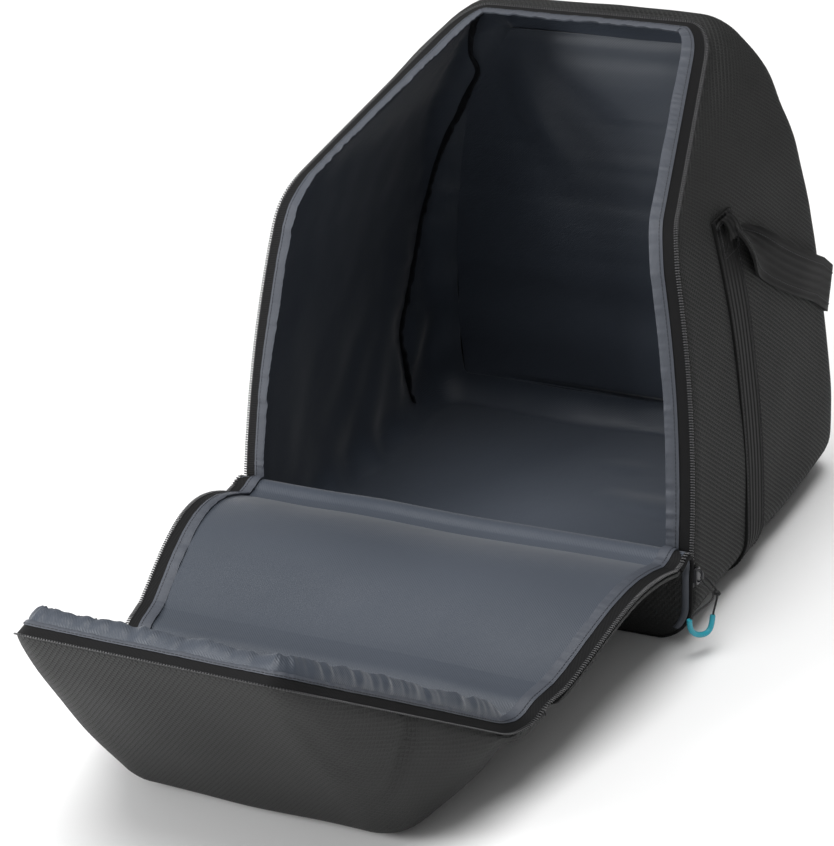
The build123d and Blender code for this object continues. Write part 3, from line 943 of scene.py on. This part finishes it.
# ---------------------------------------------------------------- the flap's panel
PANEL_BOW = 20.0
PANEL_LEAN = 4.0
PANEL_LOW = 98.0
PANEL_HIGH = 264.0
OUTLINE_FINE = half_outline(2.0)


def edge_x(level):
    """Half width of the bag's front at a height, corners included."""
    low = OUTLINE_FINE[OUTLINE_FINE[:, 1] < HEIGHT - 60]
    return np.interp(level, low[:, 1], low[:, 0])


def arch(level, x):
    """How far the flap's panel bows towards its lining, more at its left edge."""
    t = np.clip((level - PANEL_LOW) / (PANEL_HIGH - PANEL_LOW), 0, 1)
    return (PANEL_BOW - PANEL_LEAN * np.clip(x / 190, -1, 1)) * np.sin(pi * t ** 0.8) ** 1.2


def flap_point(x, level, offset):
    """Point on the closed flap, offset in front of the zip surface, with the panel's bow."""
    front = zip_normal(level)
    out = offset - arch(level, x)
    y, z = zip_y(level) + front[..., 0] * out, level + front[..., 1] * out
    return np.stack([x + 0 * level, y, z], axis=-1)


def flap_grid(levels, columns, offset_of, margin, tuck):
    """Closed and open grids over the flap's panel; tuck(level) is where its top end lies, in Y."""
    height = np.repeat(levels[:, None], columns, axis=1)
    inside = smooth((levels - HOOD_ZONE[0]) / 14)[:, None]
    x = np.linspace(-1, 1, columns) * (edge_x(levels)[:, None] - margin - 4.5 * inside)
    closed = flap_point(x, height, offset_of(x, height))
    closed[..., 1] = closed[..., 1] * (1 - inside) + tuck(height) * inside
    closed[..., 2] = closed[..., 2] * (1 - inside) + height * inside
    return closed, bend_flap(closed, height)


def open_place(point, level):
    """A closed flap point's place at rest, in the frame."""
    return tuple(place(bend_flap(np.array(point), level)))


def middle_point(level, out=2.0):
    """Point on the closed flap's middle line."""
    return flap_point(np.array(0.0), np.array(level), out)


BLENDS = {"low": ("body", "flap_panel", open_place((0, -9.0, FOLD_ZONE[0]), FOLD_ZONE[0]),
                  open_place((0, -6.6, FOLD_ZONE[1]), FOLD_ZONE[1])),
          "high": ("flap_panel", "flap_hood", open_place(middle_point(HOOD_ZONE[0]), HOOD_ZONE[0]),
                   open_place(middle_point(HOOD_ZONE[1]), HOOD_ZONE[1]))}


def open_direction(level, out):
    """Open-pose direction of the zip surface's normal and the place of its plane, in the frame."""
    out = out + arch(level, 0.0)
    base, tip = (bend_flap(middle_point(level, reach), level) for reach in (out, out + 10))
    return tuple((tip - base) / 10), tuple(place(base))


FLAT_PLACES = {"cloth": ("flap_panel", 0.08, *open_direction(180.0, 9.5)),
               "middle": ("flap_panel", 0.08, *open_direction(180.0, 2.5)),
               "hood": ("flap_hood", 0.15, *open_direction(370.0, 1.2))}


def hang(ob, part, *nodes):
    """Hang a flap piece: a piece across a fold has its place baked into its mesh; the others are attached to
    their body and get a mesh of their own.
    """
    if part in BLENDS:
        return finish_piece(ob, *nodes, blend=BLENDS[part])
    body, keep, axis, anchor = FLAT_PLACES[part]
    finish_piece(ob, *nodes, body=body)
    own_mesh(ob)
    return ob


def fold_levels(low, high, step):
    """Heights for a grid, closer together in the folds, with both ends of the panel's middle."""
    stretches = ((low, FOLD_ZONE[0], step), (*FOLD_ZONE, 1.6), (FOLD_ZONE[1], HOOD_ZONE[0], step),
                 (HOOD_ZONE[0], high, 3.0))
    levels = np.concatenate([np.arange(*stretch) for stretch in stretches])
    clear = np.minimum(np.abs(levels - PANEL_LOW), np.abs(levels - PANEL_HIGH)) > 1.5
    return np.sort(np.append(levels[clear & (levels < high - 0.5)], [PANEL_LOW, PANEL_HIGH, high]))


def panel_rows(levels):
    """Rows of the flap's low fold, bowed middle and hood fold."""
    low, high = (int(np.argmin(np.abs(levels - v))) for v in (PANEL_LOW, PANEL_HIGH))
    return {"low": slice(0, low + 1), "cloth": slice(low, high + 1), "high": slice(high, None)}


def sill_offset(x, level):
    """How far the sill's outer face stands in front of the zip surface, with its crease."""
    belly = 10.0 * np.clip(1 - np.abs((level - 42) / 42) ** 1.35, 0, 1)
    return 3.8 + belly * np.clip(1.15 - np.abs(x) / 260, 0, 1)


def shell_offset(x, level):
    """How far the flap's outer face stands in front of the zip surface."""
    t = smooth((level - 62) / 28)
    soft = rough(np.stack([x, level, 0 * x], axis=-1), 70.0, 51) * 1.2 * np.clip((level - 100) / 40, 0, 1)
    return sill_offset(x, level) * (1 - t) + 6.2 * t + soft * np.clip((262 - level) / 40, 0, 1)


def lining_offset(x, level):
    """How far the flap's lining stands in front of the zip surface."""
    t = smooth((level - 56) / 36)
    puff = 2.2 * np.sin(pi * np.clip((level - 88) / 200, 0, 1)) * np.clip(1 - (x / 185) ** 4, 0, 1)
    soft = rough(np.stack([x, level, 0 * x], axis=-1), 85.0, 61) * 1.8
    fine = rough(np.stack([x * 0.5, level, 0 * x], axis=-1), 22.0, 63) * 0.25
    soft = np.minimum(soft * np.clip((200 - np.abs(x)) / 30, 0.2, 1) + fine, 1.0)
    return -1.4 * (1 - t) + 1.2 * t - (puff + soft) * t


def make_flap_panel():
    """The flap's outer fabric and lining from the sill to the hood, each in three pieces."""
    levels = fold_levels(0.6, 294.0, 6.0)
    closed, opened = flap_grid(levels, 66, shell_offset, 0.4, lambda level: 24.6)
    opened = above_floor(opened)
    thick = np.repeat(2.6 - 1.7 * smooth((levels - 262) / 14)[:, None], 66, axis=1)[..., None]
    slab = opened, thick, arc_coordinates(closed), grid_normals(opened)
    nodes = {"low": ["sill_panel"], "cloth": ["front_panel_shell"]}
    make_panel_pieces("flap_shell_", OUTER, levels, slab, nodes)
    levels = fold_levels(12.0, 307.0, 5.0)
    closed, opened = flap_grid(levels, 80, lining_offset, 3.6,
                               lambda level: 27.6 - 1.6 * smooth((level - 293) / 12))
    opened, flat = opened[:, ::-1], arc_coordinates(closed)[:, ::-1]
    slab = opened, np.full((*flat.shape[:2], 1), 1.1), flat, grid_normals(opened)
    nodes = {"low": ["lining_sill"], "cloth": ["front_panel_lining"]}
    make_panel_pieces("flap_lining_", LINING, levels, slab, nodes)


def make_panel_pieces(name, look, levels, slab, nodes):
    """Cut one sheet of the panel into its pieces, and hang them."""
    for part, rows in panel_rows(levels).items():
        hang(sheet(name + part, look, *(array[rows] for array in slab)), part, *nodes.get(part, ()))


make_flap_panel()


# ---------------------------------------------------------------- the hood
HOOD_CAP_COLUMNS = 56


def bend_hood(grid):
    """Open pose of the hood, whose points all follow it beyond its fold."""
    return bend_flap(grid, np.maximum(grid[..., 2], HOOD_ZONE[1]))


def hood_cap(grid):
    """Front of the hood across the last row of its wall, its normals facing backwards."""
    edge = grid[-1][grid[-1][:, 0] >= 0]
    return cap_from(edge[np.argsort(edge[:, 2])], HOOD_CAP_COLUMNS)


def make_hood_shell():
    """Hood's outer fabric: the padded wall, its hem and its front, in one mesh."""
    grid, n2 = hood_wall(0.0, 3.4)
    outward = grid_normals(grid)
    t = np.linspace(0, 1, len(grid))[:, None]
    x, z = grid[..., 0], grid[..., 2]
    roof = np.clip(1 - (x / 150) ** 2, 0, 1) * np.clip((z - 380) / 30, 0, 1)
    shoulder = np.exp(-((np.abs(x) - 142) / 34) ** 2) * np.clip((z - 318) / 30, 0, 1)
    swell = np.sin(pi * np.clip(t * 1.1, 0, 1))
    puff = 8.0 * swell ** 0.8 * roof + 9.0 * swell ** 0.6 * shoulder
    soft = rough(grid, 80.0, 71) * 1.6 * np.clip(t * 6, 0, 1)
    dent = ridge(grid, (100, 236, 412), (104, 150, 408), 9.0) * 2.4
    dent = dent + ridge(grid, (112, 110, 400), (160, 196, 344), 6.0) * 3.0
    grid = grid + outward * (puff + soft - dent)[..., None]
    cap = hood_cap(grid)
    grid, thick = hemmed(grid, n2, -1)
    opened = above_floor(bend_hood(grid))
    build = Build()
    build.slab(opened, thick, wall_coordinates(grid, -1), grid_normals(opened))
    soft = np.clip(from_ends(HOOD_CAP_COLUMNS) / 8, 0, 1) * np.clip(from_ends(len(cap)) / 5, 0, 1)[:, None]
    cap[..., 1] += rough(cap, 90.0, 75) * 1.2 * soft + 1.0 * soft
    cap = cap[:, ::-1]
    build.slab(above_floor(bend_hood(cap)), SHELL_THICK, cap[..., [0, 2]] * MM)
    finish_piece(build.make("hood_shell_cloth", OUTER), "hood_shell", body="flap_hood")


def make_hood_lining():
    """Hood's lining, hanging loose inside its wall and front."""
    grid, _ = hood_wall(5.6, 1.6)
    t = np.linspace(0, 1, len(grid))[:, None]
    deep = np.clip((grid[..., 2] - 330) / 40, 0, 1)
    soft = np.clip(rough(grid, 70.0, 81) * 4.0 + 1.5, -1, 7) * np.clip(t * 6, 0, 1) * deep
    grid = grid - grid_normals(grid) * soft[..., None]
    build = Build()
    build.slab(bend_hood(grid)[:, ::-1], LINING_THICK, arc_coordinates(grid)[:, ::-1])
    cap = hood_cap(grid)
    row = np.arange(len(cap))
    soft = np.clip(from_ends(HOOD_CAP_COLUMNS) / 8, 0, 1)
    soft = soft * (np.clip(row[::-1] / 5, 0, 1) * np.clip(row / 12, 0, 1))[:, None]
    cap[..., 1] += np.clip(rough(cap, 80.0, 85) * 4 + 2, 0, 7) * soft
    build.slab(bend_hood(cap), LINING_THICK, cap[..., [0, 2]] * MM)
    finish_piece(build.make("hood_lining_cloth", LINING), "hood_lining", body="flap_hood")


make_hood_shell()
make_hood_lining()


# ---------------------------------------------------------------- the flap's half of the zip
HOOD_LIP_TILT = -58.0
PANEL_LIP_TILT = -4.0
HOOD_RIM_Z = 303.0
LIP_PROFILE = [(13.6, -0.3, 0.0), (16.0, 0.8, 0.4), (19.0, 1.2, 0.9), (23.0, 0.8, 1.0), (25.4, -0.8, 1.0),
               (25.2, -3.0, 0.8), (22.0, -5.2, 0.6), (17.0, -7.5, 0.3), (12.5, -9.0, 0.0)]


def flap_rim(step):
    """Flap's coil line with the panel's bow: closed points, inward and back-facing normals."""
    points, inward, front = rim_line(step)
    return points - front * (arch(points[:, 2], points[:, 0]) - 0.9)[:, None], inward, -front


def rim_parts(level):
    """First and last points of the rim's stretches; neighbours share the point at their join."""
    top = int(np.argmax(level))
    right, left = ([start + int(np.argmin(np.abs(part - z))) for z in (PANEL_LOW, PANEL_HIGH, HOOD_RIM_Z)]
                   for start, part in ((0, level[:top]), (top, level[top:])))
    joins = [0, *right, *left[::-1], len(level) - 1]
    names = ("low_right", "middle_right", "high_right", "hood", "high_left", "middle_left", "low_left")
    return {name: (first, last) for name, first, last in zip(names, joins, joins[1:])}


def make_rim_piece(build, name, part, look, nodes):
    """Make and hang one stretch of the rim; nodes are the CAD nodes of the panel's and the hood's half."""
    used = {"low_right": nodes[:1], "hood": nodes[1:]}.get(part, ())
    hang(build.make(name + "_" + part, look), part.split("_")[0], *used)


def make_flap_rim():
    """The flap's half of the zip, cut at the folds: tape, binding, stitches, coil and the lip's lining."""
    level = rim_line(RIM_STEP)[0][:, 2]
    line = flap_rim(RIM_STEP)
    length = along(line[0])
    stand = smooth((level - HOOD_RIM_Z - 1) / 24)
    tilt = PANEL_LIP_TILT + (HOOD_LIP_TILT - PANEL_LIP_TILT) * stand
    tilt = tilt + gathers(length, 70.0, 6) * 6 * (0.3 + stand)
    parts = rim_parts(level)
    tape, _ = tape_grid(line, tilt, 0.2 * stand)
    binding, out = binding_grid(line, tilt, BINDING_WIDTH - 5.4 * stand, 8, 0.8, 0.2 * stand)
    for name, grid, thick, look, nodes in (
            ("flap_tape", tape, TAPE_THICK, TAPE, ("front_zip_tape", "hood_zip_tape")),
            ("flap_binding", binding, 1.4, BINDING, ("front_binding", "hood_binding"))):
        opened = bend_flap(grid, level)
        facing = -grid_normals(opened)
        for part, (first, last) in parts.items():
            pick = slice(first, last + 1)
            flat = arc_coordinates(grid[:, pick])
            build = Build()
            build.slab(opened[:, pick][:, ::-1], thick, flat[:, ::-1], facing[:, pick][:, ::-1])
            make_rim_piece(build, name, part, look, nodes)
    sewn = bend_flap(binding[2] + out[2] * 0.12, level)
    for part, (first, last) in parts.items():
        build = Build()
        build.stitches(sewn[first : last + 1], 0.28, **HEM_STITCH)
        make_rim_piece(build, "flap_stitches", part, THREAD_GREY, ())
    fine = flap_rim(COIL_PITCH)
    fine_level = rim_line(COIL_PITCH)[0][:, 2]
    for part, (first, last) in rim_parts(fine_level).items():
        build = Build()
        teeth(build, fine, range(first, last + (part == "low_left")), bend_flap)
        make_rim_piece(build, "flap_coil", part, COIL, ("front_zip_coil", "hood_zip_coil"))
    make_lip_lining(line, level, length, tilt, stand)


def make_lip_lining(line, level, length, tilt, stand):
    """Gathered lining strip that stands above the binding on the hood's far edge and rolls back inside."""
    keep = level > HOOD_RIM_Z
    line = tuple(part[keep] for part in line)
    points, s, up = line[0], length[keep], stand[keep]
    across, out = tilted(line, tilt[keep])
    wrinkle = gathers(s, 5.5, 12) * 1.6 + gathers(s, 17.0, 13) * 2.2
    edge = gathers(s, 9.0, 14) * 1.4 + gathers(s, 30.0, 15) * 1.2
    start = LIP_PROFILE[0][0]
    grid = []
    for reach, height, share in LIP_PROFILE:
        reach = start - 2.4 * up + (reach + edge * share - start) * (0.25 + 0.95 * up)
        rise = height * (0.3 + 0.7 * up) + wrinkle * share
        grid.append(points + across * reach[:, None] + out * rise[:, None])
    grid = np.array(grid)
    opened = bend_flap(grid, HOOD_ZONE[1])
    hang(sheet("hood_lip_lining", LINING, opened[:, ::-1], 0.8, arc_coordinates(grid)[:, ::-1]), "hood")


make_flap_rim()


# ---------------------------------------------------------------- sill edge binding
PIPING_RADIUS = 1.7
PIPING_Z = 1.9


def sill_line(levels, side, x, reach, lift):
    """Line up one end of the sill at rest, reach inside x and lift in front of the sill's face."""
    t = smooth((levels - 62) / 28)
    offset = sill_offset(x, levels) * (1 - t) + 5.4 * t
    return bend_flap(flap_point((x - reach) * side, levels, offset + lift), levels)


def make_sill_binding():
    """Seam tape round the sill's two ends: black piping outside and a grey folded edge inside it."""
    for side, part in ((1, "right"), (-1, "left")):
        levels = np.concatenate([np.linspace(0.4, 6, 6), np.linspace(9, 92, 42)])
        x = edge_x(levels) - 0.2
        black = above_floor(sill_line(levels, side, x, 0, -1.0), PIPING_Z)
        start = np.array([[(x[0] - shift) * side, black[0, 1], PIPING_Z] for shift in (26, 12)])
        build = Build()
        build.tube(resample(np.concatenate([start, black]), 2.0), circle(PIPING_RADIUS, 8))
        hang(build.make("sill_piping_" + part, TAPE), "low", *(("sill_seam_binding",) if side > 0 else ()))
        levels = np.linspace(14, 92, 44)
        rows = ((1.4, 0.3), (2.2, 1.2), (4.4, 1.5), (6.4, 1.1), (7.2, 0.2))
        x = edge_x(levels)
        grid = np.array([sill_line(levels, side, x, reach, lift) for reach, lift in rows])[:, ::side]
        hang(sheet("sill_edge_" + part, BINDING, grid, 1.0), "low")


make_sill_binding()


# ---------------------------------------------------------------- webbing and carry strap
WEBBING_WIDTH = 38.0
WEBBING_Y = 122.0
WEBBING_BOTTOM_Z = 7.0
WEBBING_TOP_Z = 306.0
STRAP_PIVOT = (126.0, 296.0)
STRAP_DROP = 33.0
STRAP_REACH = 250.0
STRAP_THICK = 2.2
STRAP_CORNERS = [(180.0, -4.0), (186.0, 60.0), (195.6, 150.0), (197.4, STRAP_REACH), (0, STRAP_REACH + 3.0)]


def wall_point(side, y, z, lift):
    """Point on the bag's outer wall at a height, lifted off it, for the side walls."""
    keep = (OUTLINE_FINE[:, 1] > 3) & (OUTLINE_FINE[:, 1] < HEIGHT - 30)
    x, height = OUTLINE_FINE[keep].T
    nx, nz = (np.interp(z, height, column) for column in normals_2d(OUTLINE_FINE)[keep].T)
    x = np.interp(z, height, x)
    return np.stack([(x + nx * lift) * side, y + 0 * x, z + nz * lift], axis=-1)


def make_webbing():
    """Webbing sewn down both sides, with stitched edges and a crossed box under its loop."""
    edge_y = WEBBING_Y - WEBBING_WIDTH / 2
    for side, part in ((1, "right"), (-1, "left")):
        z = np.linspace(WEBBING_BOTTOM_Z, WEBBING_TOP_Z, 80)
        height, depth = np.meshgrid(z, np.linspace(edge_y, edge_y + WEBBING_WIDTH, 13), indexing="ij")
        grid = wall_point(side, depth, height, 2.2)
        grid[..., 0] += side * rough(grid, 60.0, 91) * 0.5
        piece = sheet("webbing_" + part, WEBBING, grid[:, ::side], 2.0)
        finish_piece(piece, "side_webbing_" + part, body="body")
        build = Build()
        for inset in (2.4, WEBBING_WIDTH - 2.4):
            build.stitches(wall_point(side, edge_y + inset, z, 2.5), 0.32)
        low, high, y0, y1 = WEBBING_TOP_Z - 30, WEBBING_TOP_Z - 4, edge_y + 4, edge_y + WEBBING_WIDTH - 4
        corners = [(y0, low), (y1, low), (y1, high), (y0, high), (y0, low), (y1, high)]
        for a, b in zip(corners, corners[1:]):
            y, height = (np.linspace(p, q, 12) for p, q in zip(a, b))
            build.stitches(wall_point(side, y, height, 4.6), 0.36)
        finish_piece(build.make("webbing_stitches_" + part, THREAD), body="body")


def make_carry_strap():
    """Strap that leaves each webbing loop bunched and edge-on, then lies down round the back."""
    drop = radians(STRAP_DROP)
    right = rounded(STRAP_CORNERS, [300, 300, 36], 4.0)
    line = np.concatenate([right, right[-2::-1] * [-1, 1]])
    centre = np.array([0, *STRAP_PIVOT]) + line[:, :1] * [1, 0, 0] + line[:, 1:] * [0, cos(drop), -sin(drop)]
    s = along(centre)
    from_end = np.minimum(s, s[-1] - s)
    side = np.where(np.arange(len(s)) < len(s) / 2, 1.0, -1.0)
    tangent = unit(np.gradient(centre, axis=0))
    upright = smooth(np.abs(tangent[:, :1]) * 1.3)
    across = unit(np.array([0, sin(drop), cos(drop)]) * (1 - upright) + np.array([0, -0.07, 1.0]) * upright)
    out = np.cross(tangent, across)
    sway = np.sin(s / s[-1] * 4 * pi)
    sag = 7.0 * np.sin(pi * np.clip(from_end / 190, 0, 1))
    bow = 2.5 * sway * np.clip(from_end / 60, 0, 1)
    centre = centre - across * sag[:, None] + out * bow[:, None]
    twist = np.radians(-62 * (1 - smooth(from_end / 80)) * side + 6 * sway)[:, None]
    wide = across * np.cos(twist) + out * np.sin(twist)
    flat = out * np.cos(twist) - across * np.sin(twist)
    spread = 0.4 + 0.6 * smooth(from_end / 62)[:, None]
    t = np.linspace(-0.5, 0.5, 13)
    cup = (0.25 - t ** 2) * (3.0 + 16.0 * (1 - spread))
    grid = centre[:, None] + wide[:, None] * (t * WEBBING_WIDTH * spread)[..., None]
    grid = grid + flat[:, None] * cup[..., None]
    facing = grid_normals(grid)
    strap = sheet("carry_strap_cloth", WEBBING, grid + facing * STRAP_THICK / 2, STRAP_THICK, normals=facing)
    finish_piece(strap, "carry_strap", body="carry_strap")
    build = Build()
    for edge in (2, 10):
        for lift in (1.35, -1.35):
            build.stitches(grid[:, edge] + facing[:, edge] * lift, 0.32)
    finish_piece(build.make("carry_strap_stitches", THREAD), body="carry_strap")


def make_strap_loops():
    """Folded top of each webbing, arching outwards over the strap's end."""
    depth = np.linspace(-0.5, 0.5, 11)
    for side, part in ((1, "right"), (-1, "left")):
        rows = []
        for t in np.linspace(0, 1, 17):
            angle = pi * 0.98 * t
            lift = 1.8 + 4.75 * (1 - cos(angle)) + 1.4 * (0.25 - depth ** 2)
            z = WEBBING_TOP_Z - 7 + 11.0 * sin(angle) - 10.0 * t
            y = WEBBING_Y - 1.5 + depth * WEBBING_WIDTH * (0.92 - 0.34 * sin(angle) - 0.22 * t)
            rows.append(wall_point(side, y, z + 0 * y, lift))
        finish_piece(sheet("strap_loop_" + part, WEBBING, np.array(rows)[:, ::-side], 1.8), body="body")


make_webbing()
make_carry_strap()
make_strap_loops()


# ---------------------------------------------------------------- slider
SLIDER_Z = 61.0
SLIDER_OUT = 3.0
METAL_ANGLE = 35


def make_slider():
    """Zip slider: two plates round the coil, their diamond and side walls, and the bridge for the pull."""
    lean = unit(np.array(JOINTS["slider_run"]["axis"], float))
    out = unit(np.array([1.0, 0, 0]) - lean * lean[0])
    wide = np.cross(lean, out)
    axes = wide, lean, out
    at = np.array([half_width(SLIDER_Z) + SLIDER_OUT, zip_y(SLIDER_Z), SLIDER_Z])
    build = Build()
    build.plate(at, (9.0, 14.0, 1.8), 3.2, axes)
    build.plate(at - out * 5.4, (8.4, 13.4, 1.6), 3.0, axes)
    build.plate(at - out * 2.6 + lean * 3.4, (2.2, 3.4, 4.8), 0.9, axes)
    for shift in (-3.9, 3.9):
        build.plate(at - out * 1.3 + wide * shift, (1.1, 10.5, 2.4), 0.5, axes)
    finish_piece(build.make("slider_body", METAL, METAL_ANGLE), "slider_plate", body="zip_slider")
    angle = np.linspace(0, pi, 25)[:, None]
    build = Build()
    build.tube(at + out * (0.8 + 3.4 * np.sin(angle)) + lean * 4.6 * np.cos(angle), pill(3.2, 1.3))
    finish_piece(build.make("slider_bridge", METAL, METAL_ANGLE), "slider_arch", body="zip_slider")


make_slider()


# ---------------------------------------------------------------- floor, light and world
FLOOR_SIZE = 6.0
FLOOR_Z = -0.0004


def make_floor():
    """White floor that the bag stands on."""
    mesh = bpy.data.meshes.new("floor")
    corners = [(x * FLOOR_SIZE, y * FLOOR_SIZE, FLOOR_Z) for x, y in ((-1, -1), (1, -1), (1, 1), (-1, 1))]
    mesh.from_pydata(corners, [], [(0, 1, 2, 3)])
    mesh.materials.append(material("floor_white", Base_Color=(0.93, 0.93, 0.93, 1), Roughness=0.6))
    link(bpy.data.objects.new("floor", mesh))


def make_world():
    """White surroundings, brighter on the camera's left."""
    world = bpy.data.worlds.new("world")
    bpy.context.scene.world = world
    world.use_nodes = True
    n = Nodes(world.node_tree)
    where = n.new("TexCoord", {}).outputs["Generated"]
    facing = n.new("VectorMath", {0: where, 1: (-0.72, -0.60, 0.35)}, operation="DOT_PRODUCT")
    spread = n.new("MapRange", {"Value": facing.outputs["Value"], "From Min": -1.0, "From Max": 1.0,
                                "To Min": 0.04, "To Max": 0.6})
    white = {"Strength": spread.outputs["Result"], "Color": (1.0, 1.0, 1.0, 1)}
    n.put(world.node_tree.nodes["Background"], white)


def make_light(name, kind, at, look, power, **settings):
    """Lamp at a place, pointing at another."""
    data = bpy.data.lights.new(name, kind)
    data.energy = power
    for key, value in settings.items():
        setattr(data, key, value)
    lamp = link(bpy.data.objects.new(name, data))
    turn = (Vector(look) - Vector(at)).to_track_quat("-Z", "Y").to_matrix().to_4x4()
    lamp.matrix_world = Matrix.Translation(at) @ turn


bpy.context.scene.view_settings.view_transform = "Standard"
make_floor()
make_world()
make_light("key", "AREA", (-1.9, -2.3, 1.2), (0, -0.3, 0.1), 56.0, size=1.1)
make_light("overhead", "SUN", (0, 0, 3), (0, 0.25, 0), 2.5, angle=radians(40))
